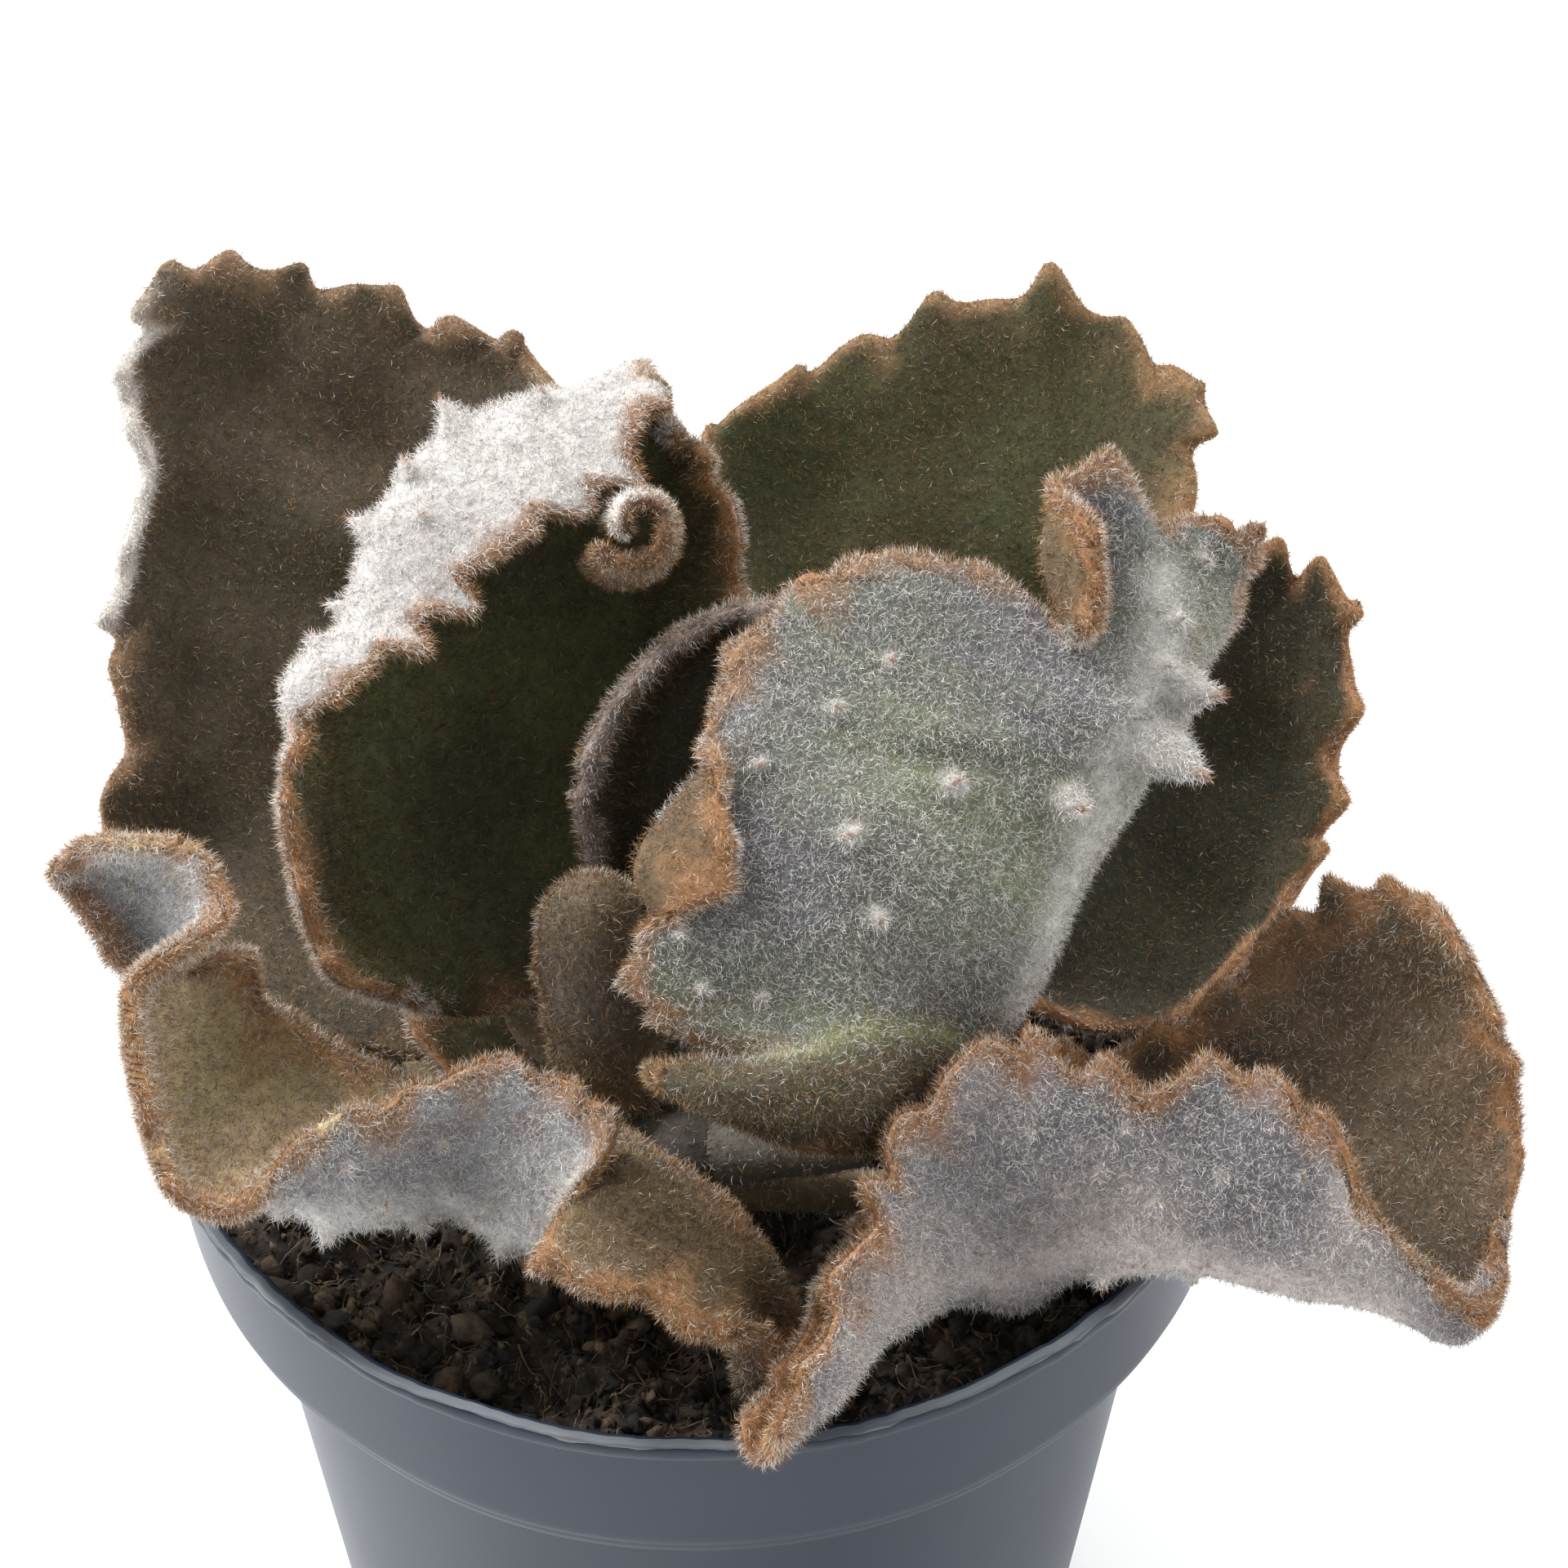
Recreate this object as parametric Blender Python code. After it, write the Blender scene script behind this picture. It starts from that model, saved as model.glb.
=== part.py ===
"""A small felt-leaved kalanchoe growing in a round nursery pot.

Metres, +Z up. The origin is on the flat underside of the pot, on the pot's axis.
The plant is a short stem in the soil with ten leaves around it. Leaves, stem, soil and pot are
separate pieces, and 0.3 mm of air is kept between each piece and the next.
"""
import math

import bmesh
import bpy
from mathutils import Matrix, Vector

MM = 0.001
GAP = 0.3                 # air between pieces, mm

# Pot, millimetres
RIM_R = 41.0              # outer radius at the rim
POT_H = 77.5              # height over all
COLLAR_H = 14.0           # height of the wider band below the rim
COLLAR_R = 39.4           # outer radius at the foot of that band
NECK_R = 35.4             # outer radius of the body just below the band
BASE_R = 28.4             # outer radius of the base
WALL = 0.8                # wall of the body and the band
LIP = 1.4                 # width of the flat lip on the rim
FLOOR = 1.2               # thickness of the base
POT_STEPS = 72            # sides of the round
DRAIN_R = 2.4             # drain hole radius
DRAIN_AT = 21.0           # drain holes' distance from the axis
DRAIN_HOLES = 8

# Soil, millimetres
SOIL_TOP = 70.0
SOIL_DOME = 1.2           # rise of the soil towards the middle
SOIL_BUMP = 0.5           # height of the lumps
SOIL_RINGS = 10
SOIL_STEPS = 48

# Stem, millimetres
STEM = (-1.0, -17.0)       # where the stem stands, x and y
STEM_R = 3.2
STEM_TOP = 83.0
STEM_FOOT = 58.0          # the stem's buried end

# Leaves, millimetres
BLADE = 1.5               # thickness of a blade
STALK_STEPS = 8           # sides of a stalk's round
STALK_LENGTHS = 6         # straight lengths that make a bent stalk

# Each leaf is a loft through cross sections, laid from its stalk to its tip. A section runs
# from one margin of the leaf to the other. Points are x, y, z in millimetres.
FRONT_LEFT = (
    ((6.5, -30, 76.5), (6.5, -31.5, 76.5), (5, -35, 77), (5.5, -35, 80)),
    ((6, -27.5, 77), (5.5, -29.5, 76.5), (3.5, -34, 78), (4, -34.5, 83)),
    ((4.5, -26, 80), (3.5, -30, 83), (2.5, -32.5, 83.5), (1.5, -36.5, 83.5)),
    ((1.5, -23, 81.5), (1, -28.5, 84.5), (-0.5, -31.5, 86), (-3.5, -35, 86.5)),
    ((-3.5, -19, 82.5), (-3.5, -24.5, 87), (-6.5, -29, 88.5), (-10.5, -34, 89)),
    ((-7.5, -16, 81), (-6.5, -19, 81.5), (-9, -26.5, 82), (-6, -24.5, 91)),
    ((-12, -14, 80), (-11, -17.5, 78.5), (-13, -25, 81), (-10, -21.5, 92.5)),
    ((-16.5, -12.5, 80.5), (-16, -15.5, 79), (-17, -23, 81.5), (-14.5, -20.5, 93.5)),
    ((-20.5, -12, 82), (-20.5, -15.5, 80.5), (-20.5, -24, 82), (-20, -22, 92)),
    ((-24.5, -11.5, 84), (-25, -16.5, 83.5), (-25.5, -26.5, 85), (-26, -25.5, 91.5)),
    ((-28.5, -11, 87.5), (-29.5, -16, 85.5), (-31, -23.5, 86.5), (-31.5, -29.5, 89)),
    ((-31, -11, 90), (-33.5, -15.5, 87.5), (-35.5, -22, 88), (-36, -28.5, 91.5)),
    ((-31.5, -11.5, 95), (-35, -12, 93), (-37.5, -15.5, 95), (-38.5, -18.5, 99)),
    ((-34, -9.5, 97), (-36.5, -9.5, 96.5), (-39, -11.5, 97.5), (-41, -13.5, 100)),
    ((-37, -7.5, 101.5), (-39, -7.5, 101.5), (-41.5, -8.5, 102), (-44, -10, 101.5)),
)
FRONT_RIGHT = (
    ((3, -40.5, 80), (3.5, -42, 78.5), (5, -43, 79), (6, -43.5, 82.5)),
    ((5.5, -37.5, 80.5), (7, -38, 79), (9.5, -39, 81), (7.5, -40, 85)),
    ((8, -32, 81.5), (10, -32, 79.5), (13, -33.5, 81.5), (9.5, -35, 86.5)),
    ((11, -26.5, 82), (13.5, -25.5, 78), (17, -28.5, 79), (12.5, -29, 89.5)),
    ((15, -18.5, 79), (19, -18.5, 77.5), (22.5, -27, 76.5), (16.5, -22.5, 93)),
    ((22.5, -12.5, 82), (23.5, -16, 78.5), (25.5, -26.5, 78.5), (21.5, -19.5, 94.5)),
    ((28.5, -10, 82.5), (29, -16, 78.5), (29.5, -27, 79.5), (26.5, -20, 92.5)),
    ((35, -8, 84.5), (35, -15, 79.5), (34, -27, 80), (30.5, -22, 91)),
    ((40.5, -5, 87.5), (41.5, -14, 82), (39, -28, 79.5), (35, -20.5, 93.5)),
    ((44.5, -3.5, 92), (47.5, -13, 84), (45, -29.5, 79), (41, -23, 92.5)),
    ((48.5, -6, 96), (52.5, -13.5, 86.5), (50, -30.5, 78.5), (45.5, -28, 88)),
    ((51.5, -8.5, 96.5), (56.5, -16.5, 87.5), (54.5, -30.5, 80), (51.5, -32.5, 82)),
)
FRONT_CENTRE = (
    ((2.5, -22, 89.5), (6, -23, 88.5), (10, -22, 87), (13.5, -19, 84), (14.5, -15, 81)),
    ((-3.5, -22.5, 95.5), (1.5, -25, 96), (11, -23.5, 93.5), (17.5, -16.5, 88), (18, -11.5, 84)),
    ((-0.5, -20, 95), (4.5, -21, 95.5), (12.5, -18, 95.5), (20, -15, 90.5), (20, -9.5, 86)),
    ((-4, -15, 100), (1.5, -15, 100), (12, -13, 101.5), (24.5, -10, 97.5), (25, -3.5, 91.5)),
    ((-3.5, -12.5, 103.5), (0, -11.5, 103), (12.5, -10.5, 104.5), (27, -6.5, 101), (27.5, 0, 95)),
    ((-1, -8.5, 106.5), (2, -7.5, 106), (14, -7.5, 107), (29, -4, 103), (30, 3, 97.5)),
    ((1.5, -2.5, 109), (4.5, -4, 109), (16, -5, 108), (30, -2.5, 105), (31.5, 4.5, 99)),
    ((3, 2, 112), (7, -0.5, 111), (19, -4, 109), (31.5, -1, 106.5), (33, 5, 101)),
    ((11.5, 6.5, 115), (14.5, 3, 112.5), (22.5, -2.5, 109), (32.5, 0.5, 107.5), (34.5, 6.5, 103.5)),
    ((18.5, 7.5, 114), (21.5, 3.5, 112), (27, -2, 109.5), (33, 2, 109), (35.5, 7.5, 106)),
    ((24, 4, 112.5), (26.5, 1.5, 111.5), (30, 1, 111), (33.5, 4, 111), (37, 8.5, 108)),
    ((25, 4, 113.5), (27, 4, 114), (30.5, 5.5, 114), (34, 7.5, 113), (38, 10, 111)),
    ((24, 7, 116.5), (26, 7, 116.5), (30, 8, 116), (33, 9, 114.5), (39, 9.5, 113)),
    ((24.5, 8, 120), (25.5, 9.5, 120), (28, 11, 121.5), (31.5, 10.5, 115.5), (39.5, 9.5, 115)),
)
MID_LEFT = (
    ((-20, -8.5, 85.5), (-18.5, -7.5, 84), (-17, -6, 82), (-15, -5.5, 81.5), (-13, -4, 81.5)),
    ((-23.5, -11, 92.5), (-22, -9, 90.5), (-18.5, -6, 86.5), (-11.5, -1, 83), (-8, 1, 86)),
    ((-27, -10, 98), (-26.5, -8, 96), (-22.5, -3, 89.5), (-10, 3, 86.5), (-4, 4.5, 91)),
    ((-28.5, -6.5, 102.5), (-27.5, -4, 100.5), (-24, 2, 92.5), (-9.5, 8, 88.5), (-1.5, 7.5, 95)),
    ((-28, -2.5, 106), (-27.5, -0.5, 104), (-24, 6, 96.5), (-8.5, 12, 92.5), (0.5, 11, 99.5)),
    ((-25, -0.5, 109.5), (-28, 1.5, 108.5), (-24, 9, 99), (-7, 15.5, 95.5), (2, 13, 103)),
    ((-20.5, 2.5, 111), (-24.5, 5.5, 109.5), (-21.5, 13.5, 102), (-6, 18.5, 98.5), (3, 14.5, 105.5)),
    ((-17.5, 5.5, 112), (-23, 9.5, 112), (-18.5, 16.5, 105), (-4, 20.5, 101.5), (2.5, 16, 107.5)),
    ((-13.5, 9, 114.5), (-21, 13.5, 114.5), (-15.5, 19.5, 107.5), (-3.5, 21, 105), (2, 18.5, 109.5)),
    ((-7.5, 12.5, 116), (-18, 18, 116), (-12, 22, 110), (-3, 22.5, 108), (0.5, 20, 111)),
    ((-3.5, 17.5, 118), (-10, 21, 117), (-7, 23.5, 112.5), (-2, 23.5, 110), (-0.5, 22, 111.5)),
    ((-3, 22, 118), (-4, 23.5, 118), (-3.5, 24.5, 116.5), (-2.5, 24, 113), (-2, 22.5, 112)),
)
BACK_LEFT = (
    ((-25, -5, 76.5), (-22.5, -4.5, 75.5), (-19, -4, 75), (-17, -2, 75)),
    ((-33, -5, 80.5), (-27.5, -3, 77), (-19, -1.5, 75.5), (-15, 2.5, 77)),
    ((-41, 2, 84), (-36, 4, 79), (-22, 6.5, 76), (-15.5, 8, 80)),
    ((-44.5, 8, 86), (-39, 12, 81), (-22, 15, 78.5), (-15.5, 14.5, 83.5)),
    ((-42.5, 16, 90.5), (-38.5, 20, 86.5), (-21.5, 23, 84.5), (-14, 21.5, 89)),
    ((-44, 22.5, 95.5), (-39, 28, 93.5), (-21, 31.5, 91.5), (-13, 29, 95)),
    ((-41.5, 28.5, 101), (-39, 34, 98), (-21, 37, 96.5), (-12, 34, 99.5)),
    ((-42.5, 34.5, 105.5), (-39, 39, 103), (-21, 41.5, 101), (-11, 37, 102.5)),
    ((-40, 43, 110.5), (-34, 45.5, 109), (-21, 43.5, 104.5), (-13.5, 40.5, 105.5)),
)
BACK_RIGHT = (
    ((5.5, 4.5, 78.5), (7.5, 4.5, 77), (12, 5.5, 76.5), (14.5, 6, 77.5)),
    ((0.5, 8, 83.5), (6, 10, 79.5), (20, 11.5, 79.5), (24.5, 11.5, 84)),
    ((-0.5, 15.5, 89), (6, 19, 85), (22.5, 21, 84.5), (29.5, 18.5, 89)),
    ((-0.5, 23, 94.5), (5.5, 26.5, 90.5), (24.5, 28, 89.5), (34, 24.5, 93.5)),
    ((-0.5, 30, 100), (5, 33.5, 97.5), (26.5, 35.5, 96.5), (36.5, 31, 99)),
    ((0.5, 34.5, 102.5), (9, 41, 103), (26.5, 45.5, 106), (37.5, 36.5, 103)),
)
RIGHT = (
    ((25.5, -4, 80), (28, -4.5, 78.5), (33.5, -3, 77), (36, -2.5, 77.5)),
    ((22, -2, 82), (27, -1, 79), (36.5, 0.5, 77.5), (41, 2, 81.5)),
    ((24.5, 4.5, 86.5), (29.5, 6, 83), (40.5, 8, 82), (45, 7, 85)),
    ((25.5, 8.5, 90.5), (30.5, 12, 87), (42.5, 14, 86), (47, 12, 89.5)),
    ((28, 13.5, 95), (32.5, 17.5, 92), (43.5, 19, 91), (48, 17, 93)),
    ((33.5, 19, 99), (38, 23.5, 97.5), (44.5, 24.5, 97), (48, 21.5, 97)),
)
CENTRE = (
    ((-4, -7.5, 86.5), (-2.5, -8, 86), (-0.5, -7, 85.5), (1.5, -6.5, 87)),
    ((-7, -2.5, 91), (-4.5, -2, 88.5), (0, -2, 89), (3, -2, 91.5)),
    ((-8.5, -1, 96.5), (-5, 1, 93), (0, 1.5, 93.5), (4, 1, 97)),
    ((-7.5, 1.5, 103), (-4, 5.5, 100), (1, 6, 100.5), (5, 4, 102.5)),
    ((-3, 5.5, 107), (-1, 9, 104.5), (2, 10, 104.5), (5.5, 7, 105.5)),
    ((0.5, 8.5, 108), (2, 10, 107), (3.5, 10.5, 107.5), (5.5, 9.5, 108)),
)
YOUNG = (
    ((-8, -15, 82.5), (-6.5, -15, 82), (-4.5, -15, 82), (-3, -13.5, 82)),
    ((-10, -12.5, 85.5), (-8, -14, 86), (-5, -13.5, 86), (-3, -11.5, 85.5)),
    ((-11, -9.5, 90), (-9, -11, 91.5), (-6, -11, 91.5), (-3.5, -8.5, 89.5)),
    ((-11, -7.5, 93.5), (-9, -8, 95.5), (-6.5, -8, 95.5), (-4, -6.5, 93)),
    ((-9.5, -4.5, 94.5), (-8, -5, 95.5), (-6.5, -5, 95.5), (-5, -5, 94.5)),
)
LOW = (
    ((-17.5, -9, 78), (-16.5, -9.5, 77.5), (-14.5, -9, 77), (-13, -7.5, 77)),
    ((-21, -5.5, 80), (-18.5, -5.5, 78.5), (-15, -5, 78), (-12, -3, 77)),
    ((-21, -1.5, 81), (-18.5, -0.5, 80.5), (-15.5, 0, 79.5), (-13, -0.5, 78)),
    ((-19, 1, 80.5), (-18, 1, 81), (-16, 2, 80), (-14.5, 1.5, 79.5)),
)

# Each leaf: its sections, the height where its stalk leaves the stem, the section and the point
# of the section that the stalk runs to, the stalk's radius, the steps along and across, the depth
# of its teeth and how many there are.
LEAVES = {
    "leaf_front_left": (FRONT_LEFT, 78.0, (6, 1), 1.2, 44, 9, 0.0, 0),
    "leaf_front_right": (FRONT_RIGHT, 76.2, (4, 1), 1.5, 36, 9, 0.0, 0),
    "leaf_front_centre": (FRONT_CENTRE, 80.0, (0, 3), 2.0, 34, 12, 0.0, 0),
    "leaf_mid_left": (MID_LEFT, 78.4, (0, 2), 1.2, 26, 12, 0.0, 0),
    "leaf_back_left": (BACK_LEFT, 73.9, (0, 1), 1.3, 26, 10, 1.4, 13),
    "leaf_back_right": (BACK_RIGHT, 75.5, (0, 1), 1.4, 26, 10, 1.4, 11),
    "leaf_right": (RIGHT, 74.2, (0, 1), 1.2, 24, 10, 1.2, 9),
    "leaf_centre": (CENTRE, 80.6, (0, 1), 1.0, 12, 8, 0.0, 0),
    "leaf_young": (YOUNG, 80.9, (0, 1), 1.0, 10, 8, 0.0, 0),
    "leaf_low": (LOW, 76.2, (0, 1), 0.8, 10, 8, 0.0, 0),
}

# Colours are linear RGB.
POT_GREY = (0.13, 0.145, 0.165)
PEAT = (0.035, 0.022, 0.015)
STEM_GREEN = (0.16, 0.17, 0.10)
FELT = (0.30, 0.27, 0.20)


def clear_scene():
    for thing in list(bpy.data.objects):
        bpy.data.objects.remove(thing, do_unlink=True)


def material(name, colour, roughness):
    made = bpy.data.materials.new(name)
    made.use_nodes = True
    shader = made.node_tree.nodes["Principled BSDF"]
    shader.inputs["Base Color"].default_value = (*colour, 1.0)
    shader.inputs["Roughness"].default_value = roughness
    shader.inputs["Metallic"].default_value = 0.0
    return made


def add_object(name, mesh, mat=None, smooth=True):
    thing = bpy.data.objects.new(name, mesh)
    bpy.context.scene.collection.objects.link(thing)
    if mat is not None:
        mesh.materials.append(mat)
    if smooth:
        mesh.shade_smooth()
        mesh.set_sharp_from_angle(angle=math.radians(40))
    return thing


def mesh_of(name, bm):
    """Closes the bmesh into a mesh whose faces point out."""
    bmesh.ops.recalc_face_normals(bm, faces=bm.faces)
    mesh = bpy.data.meshes.new(name)
    bm.to_mesh(mesh)
    bm.free()
    return mesh


def turned(name, profile, steps, lift=None):
    """A closed solid of revolution. The profile runs from the axis out and back to the axis;
    lift(x, y, z) may raise its points."""
    bm = bmesh.new()
    rings = []
    for radius, z in profile:
        if radius == 0:
            rings.append([bm.verts.new((0, 0, z * MM))])
            continue
        ring = []
        for i in range(steps):
            turn = 2 * math.pi * i / steps
            x = radius * math.cos(turn)
            y = radius * math.sin(turn)
            up = lift(x, y, z) if lift else 0.0
            ring.append(bm.verts.new((x * MM, y * MM, (z + up) * MM)))
        rings.append(ring)
    for low, high in zip(rings, rings[1:]):
        for i in range(steps):
            j = (i + 1) % steps
            corners = [low[i % len(low)], low[j % len(low)], high[j % len(high)], high[i % len(high)]]
            bm.faces.new(list(dict.fromkeys(corners)))
    return mesh_of(name, bm)


def cylinder(name, radius, low, high, at, steps=24):
    """A plain upright cylinder, used as a cutter."""
    bm = bmesh.new()
    place = Matrix.Translation((at[0] * MM, at[1] * MM, (low + high) / 2 * MM))
    bmesh.ops.create_cone(bm, cap_ends=True, segments=steps, radius1=radius * MM,
                          radius2=radius * MM, depth=(high - low) * MM, matrix=place)
    return mesh_of(name, bm)


def combine(thing, other_mesh, operation):
    """Joins the mesh to the thing, or cuts it out of the thing, with a hidden helper."""
    helper = add_object(other_mesh.name, other_mesh, smooth=False)
    helper.hide_render = True
    helper.display_type = "WIRE"
    modifier = thing.modifiers.new(operation.lower(), "BOOLEAN")
    modifier.operation = operation
    modifier.object = helper


def build_pot(mat):
    top = POT_H - 0.4
    ledge = POT_H - COLLAR_H
    profile = [
        (0, 0), (BASE_R - 0.5, 0), (BASE_R, 0.5),
        (NECK_R, ledge), (COLLAR_R - 0.4, ledge), (COLLAR_R, ledge + 0.5),
        (RIM_R, top), (RIM_R - 0.4, POT_H), (RIM_R - LIP, POT_H),
        (RIM_R - LIP - 0.2, top), (RIM_R - LIP - 0.2, top - 1.8),
        (COLLAR_R - WALL, ledge + 1.3), (COLLAR_R - WALL - 0.4, ledge + 0.9),
        (NECK_R - WALL, ledge + 0.7), (BASE_R - WALL, FLOOR), (0, FLOOR),
    ]
    pot = add_object("pot", turned("pot", profile, POT_STEPS), mat)
    for i in range(DRAIN_HOLES):
        turn = 2 * math.pi * (i + 0.5) / DRAIN_HOLES
        at = (DRAIN_AT * math.cos(turn), DRAIN_AT * math.sin(turn))
        combine(pot, cylinder("drain_cutter_%d" % i, DRAIN_R, -2, FLOOR + 2, at), "DIFFERENCE")


def lumps(x, y):
    """Small uneven lumps in the soil's surface, mm."""
    wave = math.sin(0.61 * x + 0.9) * math.cos(0.53 * y - 0.4)
    ripple = math.sin(1.13 * x - 0.71 * y) * math.cos(0.37 * x + 1.21 * y)
    return SOIL_BUMP * (0.6 * wave + 0.4 * ripple)


def build_soil(mat):
    ledge = POT_H - COLLAR_H
    clear = WALL + GAP + 0.1
    edge = COLLAR_R + (RIM_R - COLLAR_R) * (SOIL_TOP - ledge) / COLLAR_H - clear
    profile = [(0, FLOOR + GAP + 0.1), (BASE_R - clear - 0.3, FLOOR + GAP + 0.1),
               (NECK_R - clear - 0.1, ledge + 0.6), (NECK_R - clear, ledge + 1.5),
               (COLLAR_R - clear - 0.4, ledge + 1.8), (edge - 0.2, SOIL_TOP - 0.9)]
    for k in range(1, SOIL_RINGS):
        share = 1 - k / SOIL_RINGS
        radius = (edge - 0.6) * (share + 1 / SOIL_RINGS)
        profile.append((radius, SOIL_TOP + SOIL_DOME * (1 - share * share)))
    profile.append((0, SOIL_TOP + SOIL_DOME))

    def lift(x, y, z):
        return lumps(x, y) if z >= SOIL_TOP else 0.0

    soil = add_object("soil", turned("soil", profile, SOIL_STEPS, lift), mat)
    hole = cylinder("stem_hole_cutter", STEM_R + GAP + 0.1, STEM_FOOT - GAP, POT_H + 5, STEM)
    combine(soil, hole, "DIFFERENCE")


def build_stem(mat):
    profile = [(0, STEM_FOOT), (STEM_R - 0.6, STEM_FOOT), (STEM_R, STEM_FOOT + 1),
               (STEM_R, STEM_TOP - 2.4), (STEM_R - 0.8, STEM_TOP - 0.8),
               (STEM_R - 2, STEM_TOP), (0, STEM_TOP)]
    mesh = turned("stem", profile, 24)
    mesh.transform(Matrix.Translation((STEM[0] * MM, STEM[1] * MM, 0)))
    add_object("stem", mesh, mat)


def stalk(name, height, end, radius):
    """A tapered stalk from the side of the stem to the end point, rising as it goes."""
    way = Vector((end.x - STEM[0], end.y - STEM[1], 0)).normalized()
    start = Vector((*STEM, height)) + way * (STEM_R + GAP + 0.2)
    middle = (start + end) / 2
    middle.z = min(start.z, end.z) + 0.35 * abs(end.z - start.z)
    bm = bmesh.new()
    rings = []
    for i in range(STALK_LENGTHS + 1):
        t = i / STALK_LENGTHS
        centre = (1 - t)**2 * start + 2 * t * (1 - t) * middle + t**2 * end
        ahead = (1 - t) * (middle - start) + t * (end - middle)
        side = ahead.cross(Vector((0, 0, 1))).normalized()
        up = side.cross(ahead).normalized()
        if i == 0:
            side, up = way.cross(Vector((0, 0, 1))), Vector((0, 0, 1))
        size = radius * (1 - 0.5 * t)
        ring = []
        for k in range(STALK_STEPS):
            turn = 2 * math.pi * (k + 0.5) / STALK_STEPS
            out = side * math.cos(turn) + up * math.sin(turn)
            ring.append(bm.verts.new((centre + out * size) * MM))
        rings.append(ring)
    for low, high in zip(rings, rings[1:]):
        for k in range(STALK_STEPS):
            n = (k + 1) % STALK_STEPS
            bm.faces.new((low[k], low[n], high[n], high[k]))
    bm.faces.new(rings[0])
    bm.faces.new(rings[-1])
    return mesh_of(name + "_stalk", bm)


def knots(rows):
    """How far along the loft each row lies, from 0 to 1, by the mean distance between rows."""
    total = [0.0]
    for before, after in zip(rows, rows[1:]):
        step = sum((b - a).length for a, b in zip(before, after)) / len(before)
        total.append(total[-1] + step)
    return [value / total[-1] for value in total]


def along(points, marks, place):
    """The point at a place on the smooth curve through the points."""
    last = len(points) - 1
    k = min(max(sum(mark <= place for mark in marks) - 1, 0), last - 1)
    slopes = []
    for i in (k, k + 1):
        low = max(i - 1, 0)
        high = min(i + 1, last)
        slopes.append((points[high] - points[low]) / (marks[high] - marks[low]))
    span = marks[k + 1] - marks[k]
    t = (place - marks[k]) / span
    return ((2 * t**3 - 3 * t**2 + 1) * points[k] + (t**3 - 2 * t**2 + t) * span * slopes[0]
            + (3 * t**2 - 2 * t**3) * points[k + 1] + (t**3 - t**2) * span * slopes[1])


def loft(sections, steps_along, steps_across):
    """A grid of points on the smooth surface through the sections."""
    marks_along = knots(sections)
    marks_across = knots(list(zip(*sections)))
    grid = []
    for i in range(steps_along + 1):
        place = i / steps_along
        row = [along(list(column), marks_along, place) for column in zip(*sections)]
        across = [along(row, marks_across, j / steps_across) for j in range(steps_across + 1)]
        grid.append(across)
    return grid


def add_teeth(grid, depth, count):
    """Pushes the margins of the grid out into rounded teeth, all round but at the stalk."""
    steps_along = len(grid) - 1
    steps_across = len(grid[0]) - 1
    rim = [(i, 0, 0, 1) for i in range(steps_along // 4, steps_along)]
    rim += [(steps_along, j, -1, 0) for j in range(steps_across + 1)]
    rim += [(i, steps_across, 0, -1) for i in range(steps_along - 1, steps_along // 4, -1)]
    moved = {}
    for k, (i, j, di, dj) in enumerate(rim):
        inward = grid[i + di][j + dj] - grid[i][j]
        tooth = abs(math.sin(math.pi * count * k / len(rim))) ** 0.7
        moved[i, j] = grid[i][j] - inward.normalized() * depth * (tooth - 0.4)
    for (i, j), point in moved.items():
        grid[i][j] = point


def sheet(name, grid, mat):
    """Thickens a grid of points into a closed leaf, thinner at its margins."""
    steps_along = len(grid) - 1
    steps_across = len(grid[0]) - 1
    bm = bmesh.new()
    top = []
    under = []
    for i, row in enumerate(grid):
        top_row = []
        under_row = []
        for j, point in enumerate(row):
            lengthwise = grid[min(i + 1, steps_along)][j] - grid[max(i - 1, 0)][j]
            crosswise = row[min(j + 1, steps_across)] - row[max(j - 1, 0)]
            normal = lengthwise.cross(crosswise).normalized()
            on_rim = i in (0, steps_along) or j in (0, steps_across)
            shift = normal * BLADE * (0.3 if on_rim else 0.5)
            top_row.append(bm.verts.new((point + shift) * MM))
            under_row.append(bm.verts.new((point - shift) * MM))
        top.append(top_row)
        under.append(under_row)
    for i in range(steps_along):
        for j in range(steps_across):
            bm.faces.new((top[i][j], top[i][j + 1], top[i + 1][j + 1], top[i + 1][j]))
            bm.faces.new((under[i][j], under[i + 1][j], under[i + 1][j + 1], under[i][j + 1]))
        for j in (0, steps_across):
            bm.faces.new((top[i][j], top[i + 1][j], under[i + 1][j], under[i][j]))
    for i in (0, steps_along):
        for j in range(steps_across):
            bm.faces.new((top[i][j], under[i][j], under[i][j + 1], top[i][j + 1]))
    return add_object(name, mesh_of(name, bm), mat)


def build_leaf(name, mat):
    net, height, (section, place), radius, steps_along, steps_across, depth, teeth = LEAVES[name]
    sections = [[Vector(point) for point in row] for row in net]
    grid = loft(sections, steps_along, steps_across)
    if teeth:
        add_teeth(grid, depth, teeth)
    leaf = sheet(name, grid, mat)
    combine(leaf, stalk(name, height, sections[section][place], radius), "UNION")


def main():
    clear_scene()
    build_pot(material("pot_plastic", POT_GREY, 0.5))
    build_soil(material("peat", PEAT, 0.95))
    build_stem(material("stem_skin", STEM_GREEN, 0.8))
    felt = material("leaf_felt", FELT, 0.9)
    for name in LEAVES:
        build_leaf(name, felt)


main()
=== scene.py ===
"""The looks of a small felt-leaved kalanchoe in a grey nursery pot.

The CAD gives the places: the pot's and the soil's boxes, the stem and the leaves. Every visible
piece is made here: felted leaves with teeth, tubercles and hair, loose peat, and a moulded pot.
Lengths are metres unless a name or a comment says millimetres.
"""
import math

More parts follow.
